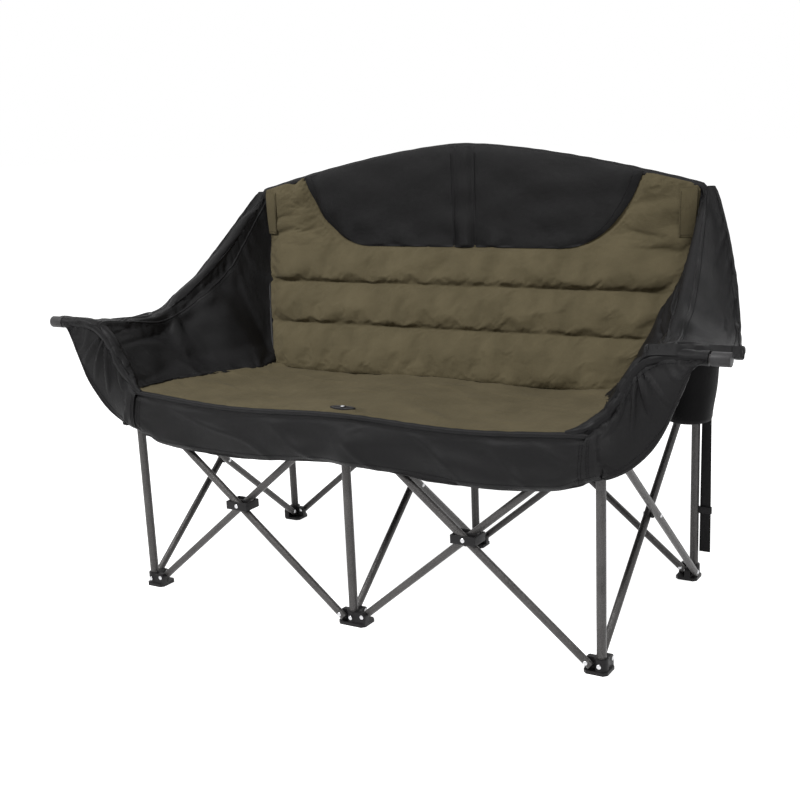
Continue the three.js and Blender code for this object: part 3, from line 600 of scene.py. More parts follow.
def addDome(body, place, way, head):  # the domed head of a rivet that stands on a face
    d = rivet["dome"]
    profile = [(head, -0.001), (head, d * 0.3), (head * 0.85, d * 0.65), (head * 0.5, d), (rivet["point"], d * 1.1)]
    rivetsOf.setdefault(body, []).append(turned("rivet", place, way, profile, rivetSteel))


def crossTube(node, body, low, high, axis, shift, armSide=0):
    axis = np.asarray(axis, float)
    low, high = np.asarray(low, float), np.asarray(high, float)
    start, end = low + axis * shift, high + axis * shift
    way = unit(end - start) * tubes["endPast"]
    if armSide:
        path = np.concatenate([[start - way], armRoute(armSide, start[1], tubes["armTip"])])
    else:
        path = np.array([start - way, lerp(start, end, 0.33), lerp(start, end, 0.67), end + way])
    carry(openTube(node + "_tube", path, tubes["radius"], tubes["bore"], axis), body, "frame_paint", node)
    addRivet(body, low, axis, shift, rivet["cheek"])
    addRivet(body, high, axis, shift, rivet["lugHalf"])


crossBodies = {("front", "left"): ("front_left_cross", "left_arm"),
               ("front", "right"): ("right_arm", "front_right_cross"),
               ("back", "left"): ("back_left_rise", "back_left_fall"),
               ("back", "right"): ("back_right_rise", "back_right_fall")}
zLow, zHigh, shift = tubes["pivotLow"], tubes["pivotHigh"], tubes["shift"]
for (row, side), (riseBody, fallBody) in crossBodies.items():
    near = -bay if side == "left" else 0.0
    x0, x1, y = near + tubes["pivotOut"], near + bay - tubes["pivotOut"], rowY[row]
    riseArm = 1 if (row, side) == ("front", "right") else 0
    fallArm = -1 if (row, side) == ("front", "left") else 0
    place = f"cross_{row}_{side}_"
    crossTube(place + "rising", riseBody, (x0, y, zLow), (x1, y, zHigh), (0, 1, 0), shift, riseArm)
    crossTube(place + "falling", fallBody, (x1, y, zLow), (x0, y, zHigh), (0, 1, 0), -shift, fallArm)
    for way in (-1, 1):
        face = (near + bay / 2, y + way * rivet["hubFace"], crossMid)
        addDome(f"{row}_{side}_hub", face, (0, way, 0), rivet["hubHead"])


def postTube(name, body, node, x, y, low, high, outer, bore):
    path = np.stack([np.full(4, x), np.full(4, y), np.linspace(low, high, 4)], axis=-1)
    carry(openTube(name, path, outer, bore, (0, 1, 0)), body, "frame_paint", node)


for column, x in columnX.items():
    y0, y1 = rowY["front"] + tubes["pivotOut"], rowY["back"] - tubes["pivotOut"]
    place, toBack, toFront = f"brace_{column}_to_", f"{column}_brace_back", f"{column}_brace_front"
    crossTube(place + "back", toBack, (x, y0, zLow), (x, y1, zHigh), (1, 0, 0), -shift)
    crossTube(place + "front", toFront, (x, y1, zLow), (x, y0, zHigh), (1, 0, 0), shift)
    outside = shift + tubes["radius"] - rivet["sunk"]
    addDome(toFront, (x + outside, 0, crossMid), (1, 0, 0), rivet["head"])
    addDome(toBack, (x - outside, 0, crossMid), (-1, 0, 0), rivet["head"])
    legBody, postBody, bracketBody = f"front_{column}_leg", f"back_{column}_post", f"front_{column}_bracket"
    leg, inner, upright = f"leg_front_{column}", f"inner_front_{column}", f"upright_{column}"
    wide, slim = (tubes["postRadius"], tubes["postBore"]), (tubes["radius"], tubes["bore"])
    postTube(leg + "_tube", legBody, leg, x, rowY["front"], tubes["legFoot"], tubes["legTop"], *wide)
    postTube(inner + "_tube", bracketBody, inner, x, rowY["front"], tubes["innerLow"], tubes["innerTop"], *slim)
    top = tubes["uprightTop"][column]
    postTube(upright + "_tube", postBody, upright, x, rowY["back"], tubes["legFoot"], top, *wide)
    addDome(legBody, (x, rowY["front"] - rivet["socketFace"], rivet["postZ"]), (0, -1, 0), rivet["head"])
    addDome(postBody, (x, rowY["back"] + rivet["socketFace"], rivet["postZ"]), (0, 1, 0), rivet["head"])

for body, heads in rivetsOf.items():
    carry(joined(f"rivets_{body}", heads), body, "frame_paint")

moulded = {"bevel": 0.0011, "angle": 32, "smooth": 38}


def mouldedPiece(node, body, material, slot):  # a merged copy of the node with rounded edges
    shape = bmesh.new()
    shape.from_mesh(frame["nodes"][node].data)
    bmesh.ops.remove_doubles(shape, verts=shape.verts, dist=1e-5)
    bmesh.ops.dissolve_limit(shape, angle_limit=math.radians(1), verts=shape.verts, edges=shape.edges)
    sharp = math.radians(moulded["angle"])
    hard = [e for e in shape.edges if len(e.link_faces) == 2 and e.calc_face_angle(0) > sharp]
    bmesh.ops.bevel(shape, geom=hard, offset=moulded["bevel"], segments=2, affect="EDGES", clamp_overlap=True,
                    profile=0.6)
    mesh = bpy.data.meshes.new(node + "_moulded")
    shape.to_mesh(mesh)
    shape.free()
    mesh.materials.clear()
    mesh.materials.append(material)
    mesh.polygons.foreach_set("material_index", np.zeros(len(mesh.polygons), np.int32))
    mesh.shade_smooth()
    mesh.set_sharp_from_angle(angle=math.radians(moulded["smooth"]))
    piece = bpy.data.objects.new(node + "_moulded", mesh)
    scene.collection.objects.link(piece)
    return carry(piece, body, slot, node)


for body, nodes in frame["record"]["behaviour"]["bodies"].items():
    for node in nodes:
        if node.startswith(("foot_", "bracket_", "hub_", "spacer_")) or node in ("grommet", "buckle"):
            mouldedPiece(node, body, blackPlastic, "black_plastic")
        elif node.startswith("arm_cap"):
            mouldedPiece(node, body, greyPlastic, "grey_plastic")

# raised rim and stud head on the plate in the seat's front edge
stud = {"z": 0.4698, "ringZ": 0.4681, "ring": (0.0245, 0.0092), "edge": 0.0011,
        "top": ((0.0044, -0.001), (0.0044, 0.0006), (0.0036, 0.0015), (0.002, 0.0021), (rivet["point"], 0.0023))}
a = np.linspace(0, 2 * np.pi, 49)
ringX, ringY = stud["ring"][0] * np.cos(a), rowY["front"] + stud["ring"][1] * np.sin(a)
ringLine = np.stack([ringX, ringY, 0 * a + stud["ringZ"]], axis=-1)
plateRing = sweep("grommet_ring", ringLine, (0, 0, 1), oval(stud["edge"], stud["edge"], 10), [greyPlastic], 60)
carry(plateRing, "front_center_bracket", "black_plastic")
studHead = turned("grommet_stud", (0, rowY["front"], stud["z"]), (0, 0, 1), stud["top"], rivetSteel)
carry(studHead, "front_center_bracket", "black_plastic")
print("frame dressed")

seat = {"level": 0.465, "thick": 0.010, "front": -0.2976, "split": -0.007, "back": 0.251, "halfFront": 0.548,
        "halfBack": 0.456, "narrowFrom": -0.210, "narrowTo": 0.045, "cornerRise": 0.008, "sag": 0.009,
        "roll": 0.007, "rollDeep": 0.014, "columns": 161, "rowsFront": 66, "rowsRear": 50, "proud": 0.001,
        "liningFrom": 0.002, "wave": 0.0022, "waveSize": 0.15, "streak": 0.0011, "streakSize": 0.07, "calmRun": 0.05,
        "joinRun": 0.04, "plate": 0.034, "fill": 0.35, "sideRoll": (0.0038, 0.0060), "frontRoll": (0.0058, 0.0056),
        "frontUneven": 0.05, "rearRoll": (0.0068, 0.0042), "frontAt": (0, -0.0012, -0.0035), "sideOut": 0.001,
        "sideDrop": 0.003}
rest = {"joinY": 0.110, "joinZ": 0.472, "headY": 0.262, "headZ": 0.750, "puff": 0.016, "seam": 0.005, "rear": 0.0054,
        "halfLow": 0.456, "halfGain": 0.108, "topMid": 0.969, "topDrop": 0.099, "topHalf": 0.578, "sideTop": 0.861,
        "seamZ": (0.450, 0.5600, 0.6540), "columns": 181, "rowsLow": 84, "rowsHigh": 60, "swellRun": 0.012,
        "ease": 0.022, "hang": 0.010, "edgeSwell": 0.004, "pucker": 0.0028, "puckerSize": 0.06, "puckerRun": 0.03,
        "loose": 0.0030, "looseSize": 0.15, "panelLoose": 0.35, "sideRun": 0.05, "lining": 0.0012, "liningDeep": 0.004,
        "heldSeam": 0.0036, "heldEdge": 0.004, "heldPanel": 0.012, "underPanel": 0.005, "fill": 0.6,
        "sink": 0.003, "crowd": 1.12}


def gather(*pieces):  # gives each piece a mesh of its own
    for piece in pieces:
        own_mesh(piece)


def seatTop(x, y):  # corners lifted, each bay sagging, front edge rolled over
    w = np.abs(x) / bay
    roll = np.maximum(0, 1 - (y - seat["front"]) / seat["rollDeep"])
    lift = seat["cornerRise"] * w ** 3 - seat["sag"] * np.sin(np.pi * w) ** 2
    return seat["level"] + lift - seat["roll"] * roll ** 2


def seatHalf(y):
    return lerp(seat["halfFront"], seat["halfBack"], ease(y, seat["narrowFrom"], seat["narrowTo"]))


def backHalf(z):
    s = np.clip((z - rest["joinZ"]) / (rest["sideTop"] - rest["joinZ"]), 0, 1)
    return rest["halfLow"] + rest["halfGain"] * np.sin(np.pi / 2 * s)


def backTop(x):
    return rest["topMid"] - rest["topDrop"] * (np.abs(x) / rest["topHalf"]) ** 1.5


def backMiddle(z):  # slanted below the head part, upright above it, rounded between
    lean = (rest["headY"] - rest["joinY"]) / (rest["headZ"] - rest["joinZ"])
    past = z - rest["headZ"]
    return rest["headY"] + (past - np.sqrt(past ** 2 + rest["ease"] ** 2)) / 2 * lean


# head panel outline: a level lower edge that rounds into slanted sides
panel = {"low": 0.738, "halfLow": 0.255, "corner": (0.385, 0.742), "halfTop": 0.440, "topZ": 0.896, "lift": 0.0024,
         "puff": 0.012, "tunnel": (-0.020, 0.035), "rows": 60, "columns": 141, "dent": 0.0026, "dentRun": 0.004,
         "bulge": 0.004, "bulgeRun": 0.02, "crease": 0.0006, "creaseSize": 0.11, "thick": 0.003, "seamGap": 0.003}
tab = {"x": 0.526, "low": 0.766, "top": 0.866, "edge": 0.003, "proud": 0.0006, "thick": 0.004, "seamProud": 0.0003,
       "rows": 40, "columns": 16}


def panelSide(t):  # right side of the outline from the lower edge to the top edge
    t = np.asarray(t)[..., None]
    a, b = np.array([panel["halfLow"], panel["low"]]), np.array(panel["corner"])
    c = np.array([panel["halfTop"], panel["topZ"]])
    return (1 - t) ** 2 * a + 2 * t * (1 - t) * b + t ** 2 * c


def panelDistance(x, z):  # nearest distance to the outline's sides and lower edge
    low = np.stack([np.linspace(0, panel["halfLow"], 40), np.full(40, panel["low"])], axis=-1)
    line = np.concatenate([low, panelSide(np.linspace(0, 1, 90))])
    p = np.stack([np.abs(x), z], axis=-1).reshape(-1, 1, 2)
    parts = [np.linalg.norm(block - line[None], axis=2).min(axis=1) for block in np.array_split(p, 24)]
    return np.concatenate(parts).reshape(np.shape(x))


def insidePanel(x, z):
    side = panelSide(np.linspace(0, 1, 90))
    return (np.abs(x) < np.interp(z, side[:, 1], side[:, 0])) & (z > panel["low"])


def seamDistance(x, z):  # nearest sewn line: the channels across and the panel's outline
    channels = np.min([np.abs(z - s) for s in rest["seamZ"]], axis=0)
    return np.minimum(channels, panelDistance(x, z))


def backOffset(x, z):  # padding in front of the middle: full between seams, thin on them
    seams = seamDistance(x, z)
    edge = np.minimum(backHalf(z) - np.abs(x), backTop(x) - z)
    nearest = np.minimum(seams, np.maximum(edge, 0) + rest["edgeSwell"])
    swell = 1 - np.exp(-nearest / rest["swellRun"])
    full = np.where(insidePanel(x, z), panel["puff"], rest["puff"])
    pucker = ripple(np.stack([x, z * 0.35], axis=-1), rest["puckerSize"], 11)  # short gathers beside the seams
    pucker = pucker * np.exp(-seams / rest["puckerRun"]) * ease(seams, 0, 0.006)
    loose = ripple(np.stack([x - 0.5 * z, z * 1.5], axis=-1), rest["looseSize"], 12) * swell
    loose = np.where(insidePanel(x, z), rest["panelLoose"], 1.0) * loose
    bounds = np.array(rest["seamZ"] + (panel["low"],))
    at = np.clip(np.searchsorted(bounds, z) - 1, 0, len(bounds) - 2)
    part = np.clip((z - bounds[at]) / (bounds[at + 1] - bounds[at]), 0, 1)
    hang = rest["hang"] * np.sin(np.pi * part ** 0.6)  # each channel fullest in its lowest third
    hang = hang * ease(backHalf(z) - np.abs(x), 0, rest["sideRun"])
    crumple = rest["pucker"] * pucker + rest["loose"] * loose
    return rest["seam"] + (full - rest["seam"]) * swell + hang + crumple


s = np.linspace(-1, 1, rest["columns"])
s = np.sign(s) * (1 - (1 - np.abs(s)) ** rest["crowd"])  # columns crowd towards the sides
low = seatTop(s * rest["halfLow"], np.full_like(s, rest["joinY"])) - rest["sink"]
top = backTop(s * (rest["halfLow"] + rest["halfGain"]))
lowRows = lerp(low[None], rest["headZ"], np.linspace(0, 1, rest["rowsLow"])[:, None])
highRows = lerp(rest["headZ"], top[None], np.linspace(0, 1, rest["rowsHigh"])[:, None])
z = np.concatenate([lowRows[:-1], highRows])
x = s[None] * backHalf(z)
y = backMiddle(z)
under = rest["underPanel"] * insidePanel(x, z) * ease(panelDistance(x, z), rest["heldEdge"], rest["heldPanel"])
backFront = np.stack([x, y - backOffset(x, z) + under, z], axis=-1)
edge = np.minimum(backHalf(z) - np.abs(x), np.minimum(backTop(x) - z, z - low[None]))
deepInside = insidePanel(x, z) & (panelDistance(x, z) > rest["heldPanel"])
held = (seamDistance(x, z) < rest["heldSeam"]) | (edge < rest["heldEdge"]) | deepInside
backFront = settled(backFront, held, spare=0.020, push=0.9, limit=0.009, bending=0.6)
lining = rest["lining"] * (ripple(np.stack([x, z], axis=-1), 0.12, 14) + 1.6)
backRear = np.stack([x, y + rest["rear"] - np.minimum(lining, rest["liningDeep"]), z], axis=-1)
shared, run = gridNormals(backFront), gridUv(backFront)
cut = rest["rowsLow"]
backParts = {"lower": ("back_lower_cloth", slice(0, cut)), "upper": ("back_center_post", slice(cut - 1, None))}
backPads = []
for part, (body, rows) in backParts.items():
    # the rear face takes the lining, lighter than black_cloth as painted light
    pad = makePad(f"back_{part}_pad", backFront[rows], backRear[rows], [oliveCloth, blackLiningPaintedLight],
                  normals=shared[rows], uv=run[rows])
    backPads.append(carry(pad, body, "olive_cloth", f"back_{part}"))


def onBack(x, z, lift=0.0):  # points on the padded front by the nearest column and height of the settled cloth
    x, z = np.asarray(x, float), np.asarray(z, float)
    flatGrid = backFront[..., (0, 2)]
    parts = [np.linalg.norm(flatGrid.reshape(1, -1, 2) - np.stack([a, b], axis=-1)[:, None], axis=2).argmin(axis=1)
             for a, b in zip(np.array_split(x, 12), np.array_split(z, 12))]
    nearest = np.concatenate(parts)
    return np.stack([x, backFront.reshape(-1, 3)[nearest, 1] - lift, z], axis=-1)


# head panel: the same front, lifted a little, from the outline's lower edge to the top edge
t = np.linspace(0, 1, panel["rows"])
outline = panelSide(t)
x = np.linspace(-1, 1, panel["columns"])[None] * outline[:, :1]
z = lerp(panel["low"], backTop(x), (outline[:, 1:] - panel["low"]) / (panel["topZ"] - panel["low"]))
tunnel = np.min([np.abs(x - at) for at in panel["tunnel"]], axis=0)
dent = panel["dent"] * np.exp(-tunnel / panel["dentRun"])
inTunnel = (x > panel["tunnel"][0]) & (x < panel["tunnel"][1])
bulge = panel["bulge"] * ease(tunnel, 0, panel["bulgeRun"]) * inTunnel
crease = panel["crease"] * ripple(np.stack([x * 0.6 + z, z], axis=-1), panel["creaseSize"], 15)
y = backMiddle(z) - backOffset(x, z) - panel["lift"] + dent - bulge + crease
headFront = np.stack([x, y, z], axis=-1)
headPanel = makePad("head_panel", headFront, headFront + np.array([0, panel["thick"], 0]), [blackCloth])
carry(headPanel, "back_center_post", "black_cloth")

# rolled binding over the top edge and down both corners, and along the two slanted sides
binding = {"half": 0.566, "y": 0.2605, "drop": 0.0035, "corner": ((0.572, 0.862), (0.574, 0.850), (0.574, 0.836)),
           "top": (0.0088, 0.0080), "topUneven": 0.04, "side": (0.0050, 0.0075), "out": 0.001, "forward": 0.003,
           "foot": 0.478, "parting": 0.749, "end": 0.858}
x = np.linspace(-binding["half"], binding["half"], 160)
topLine = np.stack([x, np.full_like(x, binding["y"]), backTop(x) - binding["drop"]], axis=-1)
turn = np.array([(cornerX, binding["y"], cornerZ) for cornerX, cornerZ in binding["corner"]])
mirror = np.array([-1, 1, 1])
topLine = np.concatenate([turn[::-1] * mirror, topLine, turn])
topBinding = piping("back_top_binding", topLine, (0, -1, 0), *binding["top"], blackBinding, 61, binding["topUneven"])
carry(topBinding, "back_center_post", "black_cloth")


def sideBinding(part, body, low, high, count, seed):  # a roll down each slanted side
    rolls = []
    for side in (-1, 1):
        z = np.linspace(low, high, count)
        line = np.stack([side * (backHalf(z) + binding["out"]), backMiddle(z) - binding["forward"], z], axis=-1)
        rolls.append(piping("side_binding", line, (0, -1, 0), *binding["side"], blackBinding, seed + side))
    return carry(joined(f"back_{part}_binding", rolls), body, "black_cloth")


lowBinding = sideBinding("lower", "back_lower_cloth", binding["foot"], binding["parting"], 60, 62)
highBinding = sideBinding("upper", "back_center_post", binding["parting"], binding["end"], 30, 65)

# sewn lines of the backrest
oliveLines, blackLines, rearLines, tabs = [], [], [], []
for side in (-1, 1):  # a smooth patch over each side post: a curved sheet fitted to the padding and laid on it
    z = np.linspace(tab["low"], tab["top"], tab["rows"])[:, None] + np.zeros((1, tab["columns"]))
    x = side * lerp(tab["x"], backHalf(z) - tab["edge"], np.linspace(0, 1, tab["columns"])[None])
    padding = onBack(x.ravel(), z.ravel())[:, 1]
    terms = np.stack([x ** 0, x, z, x * z, x * x, z * z], axis=-1).reshape(-1, 6)
    smooth = terms @ np.linalg.lstsq(terms, padding, rcond=None)[0]
    smooth += (padding - smooth).min() - tab["proud"]
    patch = np.stack([x, smooth.reshape(x.shape), z], axis=-1)
    tabs.append(makePad("tab", patch, patch + np.array([0, tab["thick"], 0]), [oliveCloth]))
    for row in (patch[:, 1], patch[2, 1:]):
        oliveLines.append((row - np.array([0, tab["seamProud"], 0]), (0, -1, 0)))
cornerTabs = carry(joined("corner_tabs", tabs), "back_center_post", "olive_cloth")
for at in panel["tunnel"]:
    for inset in (-panel["seamGap"], panel["seamGap"]):
        column = np.argmin(np.abs(headFront[30, :, 0] - at - inset))
        z = np.linspace(panel["low"] + 0.004, backTop(at) - 0.012, 60)
        y = np.interp(z, headFront[:, column, 2], headFront[:, column, 1])
        blackLines.append((np.stack([np.full(60, at + inset), y - thread["proud"], z], axis=-1), (0, -1, 0)))
border = np.concatenate([headFront[:, 3][::-1], headFront[2, 4:-4], headFront[:, -4]])
blackLines.append((border - np.array([0, thread["proud"], 0]), (0, -1, 0)))
for at in rest["seamZ"][1:]:
    x = np.linspace(-1, 1, 120) * (backHalf(at) - 0.006)
    line = np.stack([x, np.full(120, backMiddle(at) + rest["rear"]), np.full(120, at)], axis=-1)
    rearLines.append((line, (0, 1, 0)))
tabSeams = carry(stitches("tab_stitches", oliveLines, oliveThread), "back_center_post", "olive_cloth")
panelSeams = carry(stitches("panel_stitches", blackLines, blackThread), "back_center_post", "black_cloth")
rearSeams = carry(stitches("rear_stitches", rearLines, blackThread), "back_lower_cloth", "black_cloth")
gather(*backPads, headPanel, cornerTabs, topBinding, lowBinding, highBinding, tabSeams, panelSeams, rearSeams)

# sewn pockets behind the head part, over the tops of the posts
pocket = {"half": 0.0125, "from": 0.264, "to": 0.2915, "tall": 0.074, "roof": 0.003,
          "round": 0.006, "turn": (0.5, 1.0, 1.4), "rows": 22, "uneven": 0.05}
for column, x in columnX.items():
    top = tubes["uprightTop"][column] + pocket["roof"]
    brow, rows = top - pocket["round"], pocket["rows"]
    wall = np.linspace(top - pocket["tall"], brow, rows)
    z = np.concatenate([wall, brow + pocket["round"] * np.sin(pocket["turn"])])
    draw = np.concatenate([np.ones(rows), np.cos(pocket["turn"])])
    draw[:rows] += pocket["uneven"] * ripple(np.stack([wall, 0 * wall], axis=-1), 0.03, 71)
    middle = (pocket["from"] + pocket["to"]) / 2
    line = np.stack([np.full_like(z, x), np.full_like(z, middle), z], axis=-1)
    shape = oval(pocket["half"], (pocket["to"] - pocket["from"]) / 2, 28, 3.2)
    sewn = sweep(f"post_pocket_{column}", line, (0, 1, 0), shape[None] * draw[:, None, None], [blackCloth], 60)
    carry(sewn, f"back_{column}_post", "black_cloth")
print("backrest made")

v = np.linspace(0, 1, seat["rowsFront"])[:, None] ** 1.5
y = np.concatenate([lerp(seat["front"], seat["split"], v)[:-1],
                    lerp(seat["split"], seat["back"], np.linspace(0, 1, seat["rowsRear"])[:, None])])
x = np.linspace(-1, 1, seat["columns"])[None] * seatHalf(y)
y = y + 0 * x
edge = np.minimum(seatHalf(y) - np.abs(x), np.minimum(y - seat["front"], seat["back"] - y))
calm = ease(edge, 0, seat["calmRun"]) * ease(np.abs(y - rest["joinY"]), 0, seat["joinRun"])
slanted = np.stack([x * 0.45 + y * 1.1, y * 0.5 - x * 0.15], axis=-1)
wave = seat["wave"] * ripple(np.stack([x, y * 1.6], axis=-1), seat["waveSize"], 21) * calm
wave += seat["streak"] * ripple(slanted, seat["streakSize"], 22) * calm
seatFace = np.stack([x, y, seatTop(x, y) + seat["proud"] + wave], axis=-1)
plate = np.hypot(x, (y - rowY["front"]) * 1.6) < seat["plate"]
held = (edge < 0.006) | plate | (np.abs(y - rest["joinY"]) < 0.008) | (y > rest["joinY"] + 0.02)
seatFace = settled(seatFace, held, spare=0.018, push=0.0, limit=0.007, weight=0.2, bending=0.8)
seatFace[..., 2] = np.maximum(seatFace[..., 2], seatTop(x, y) - seat["thick"] / 2)
seatUnder = np.stack([x, y, seatTop(x, y) - seat["thick"] + seat["proud"]], axis=-1)
shared, run = gridNormals(seatFace), gridUv(seatFace)
cut = seat["rowsFront"]
for name, rows in (("front", slice(0, cut)), ("rear", slice(cut - 1, None))):
    # cells behind the back's join take the lining, lighter than black_cloth as painted light
    behind = (y[rows] > rest["joinY"] + seat["liningFrom"])[:-1, :-1]
    piece = makePad(f"seat_{name}_pad", seatFace[rows], seatUnder[rows], [oliveCloth, blackLiningPaintedLight],
                    normals=shared[rows], uv=run[rows], dark=behind)
    carry(piece, f"seat_{name}_cloth", "olive_cloth", f"seat_{name}")
    inset = seatUnder[rows] - np.array([0, 0, thread["proud"]])
    lines = [(inset[:, at], (0, 0, -1)) for at in (3, 4, -4, -5)]
    hemSeams = carry(stitches(f"seat_{name}_stitches", lines, blackThread), f"seat_{name}_cloth", "black_cloth")
    gather(piece, hemSeams)
    sides = [seatFace[rows, at] + np.array([way * seat["sideOut"], 0, -seat["sideDrop"]])
             for at, way in ((0, -1), (-1, 1))]
    rolls = [piping("roll", line, (0, 0, 1), *seat["sideRoll"], blackBinding, 81 + k) for k, line in enumerate(sides)]
    gather(carry(joined(f"seat_{name}_binding", rolls), f"seat_{name}_cloth", "black_cloth"))
frontLine = seatFace[0] + np.array(seat["frontAt"])
frontRoll = piping("seat_front_roll", frontLine, (0, -1, 0), *seat["frontRoll"], blackBinding, 85, seat["frontUneven"])
carry(frontRoll, "front_center_bracket", "black_cloth")
rearLine = seatFace[-1] + np.array([0, 0, -seat["thick"] / 2])
rearRoll = piping("seat_rear_roll", rearLine, (0, 1, 0), *seat["rearRoll"], blackBinding, 86)
carry(rearRoll, "seat_rear_cloth", "black_cloth")
gather(frontRoll, rearRoll)
print("seat made")

apron = {"y": -0.2998, "thick": 0.003, "half": 0.542, "low": 0.358, "sag": 0.014, "endRise": 0.022, "columns": 181,
         "rows": 44, "belly": 0.014, "tuck": 0.005, "tuckAt": 0.92, "tuckRun": 0.06, "fold": (0.0024, 0.0044),
         "crumple": 0.0030, "crease": 0.0026, "nudge": 0.008, "nudgeAt": 0.02, "nudgeRun": 0.035, "tall": 0.118,
         "endRun": 0.06, "overlap": 0.005, "back": 0.0016, "hem": (0.0022, 0.0030), "drop": 0.002,
         "heldFrom": 0.95, "heldEnd": 0.004}
armFront = {"hemLow": (0.640, 0.405), "hemHigh": (0.690, 0.480), "hemTip": (0.726, 0.600), "bow": 0.006,
            "thick": 0.003, "sleeveFrom": 0.500, "sleeveEnd": 0.747, "columns": 64, "rows": 44,
            "rollX": {"left": (0.524, 0.538, 0.548), "right": (0.495, 0.522, 0.541)},
            "rollZ": (0.465, 0.469, 0.479), "rollBack": (0.05, 0.1, 0.5), "startZ": 0.470, "fold": 0.007,
            "girthAt": (0, 0.05, 0.14, 0.26, 0.5, 0.62, 1),
            "girth": (0.004, 0.007, 0.013, 0.016, 0.016, 0.0145, 0.013), "slack": 0.6, "wobble": 0.09, "crease": 0.08,
            "stations": 130, "sides": 28, "hem": (0.0024, 0.0034),
            "forward": (0.002, 0.004), "fanFrom": (0.015, 0.010), "fanSize": 0.09}


def apronLow(x):
    w = np.abs(x) / bay
    end = apron["endRise"] * ease(np.abs(x), 0.85 * bay, bay)
    return apron["low"] - apron["sag"] * np.sin(np.pi * w) ** 2 + end


def apronBelly(v):  # fullest low down, drawn in at the hem and tucked in under the seat's edge
    tuck = apron["tuck"] * np.exp(-((v - apron["tuckAt"]) / apron["tuckRun"]) ** 2)
    return apron["belly"] * np.sin(np.pi * v ** 0.62) - tuck


v = np.linspace(0, 1, apron["rows"])[:, None]
x = np.linspace(-1, 1, apron["columns"])[None] * apron["half"] + 0 * v
top = seatTop(x, np.full_like(x, seat["front"])) - apron["drop"]
z = lerp(apronLow(x), top, v)
hang = ripple(np.stack([x, z * 1.2], axis=-1), 0.26, 31)
crumple = ripple(np.stack([x * 0.35 + z * 0.5, z * 1.6], axis=-1), 0.09, 33)
loose = lerp(*apron["fold"], (1 - v) ** 1.2) * hang + apron["crumple"] * crumple
crease = np.exp(-(ripple(np.stack([x * 0.55 + z * 0.4, z * 0.9], axis=-1), 0.17, 34) / 0.25) ** 2)
nudge = np.exp(-((x - apron["nudgeAt"]) / apron["nudgeRun"]) ** 2) * ease(v, 0.9, 0.45)  # by the middle bracket
loose = loose - apron["crease"] * crease - apron["nudge"] * nudge
loose = loose * ease(v, 1.0, 0.75) * ease(apron["half"] - np.abs(x), 0, apron["endRun"])
grid = np.stack([x, apron["y"] - apronBelly(v) + loose, z], axis=-1)
held = (v > apron["heldFrom"]) | (np.abs(x) > apron["half"] - apron["heldEnd"])
grid = settled(grid, held, spare=0.003, push=0.0, limit=0.004, weight=0.2, bending=4.0)
grid[..., 1] = np.minimum(grid[..., 1], apron["y"] + apron["back"])
apronPiece = makeSheet("apron_cloth", grid, apron["thick"], [blackCloth])
carry(apronPiece, "front_center_bracket", "black_cloth", "apron")
hem = piping("apron_hem", grid[0], (0, -1, 0), *apron["hem"], blackBinding, 32)
front = grid - np.array([0, apron["thick"] / 2 + thread["proud"], 0])
lines = [(front[4], (0, -1, 0)), (front[-3], (0, -1, 0))] + [(front[:, at], (0, -1, 0)) for at in (2, 3, -3, -4)]
apronSeams = stitches("apron_stitches", lines, blackThread)
for piece in (hem, apronSeams):
    carry(piece, "front_center_bracket", "black_cloth")
gather(apronPiece, hem, apronSeams)

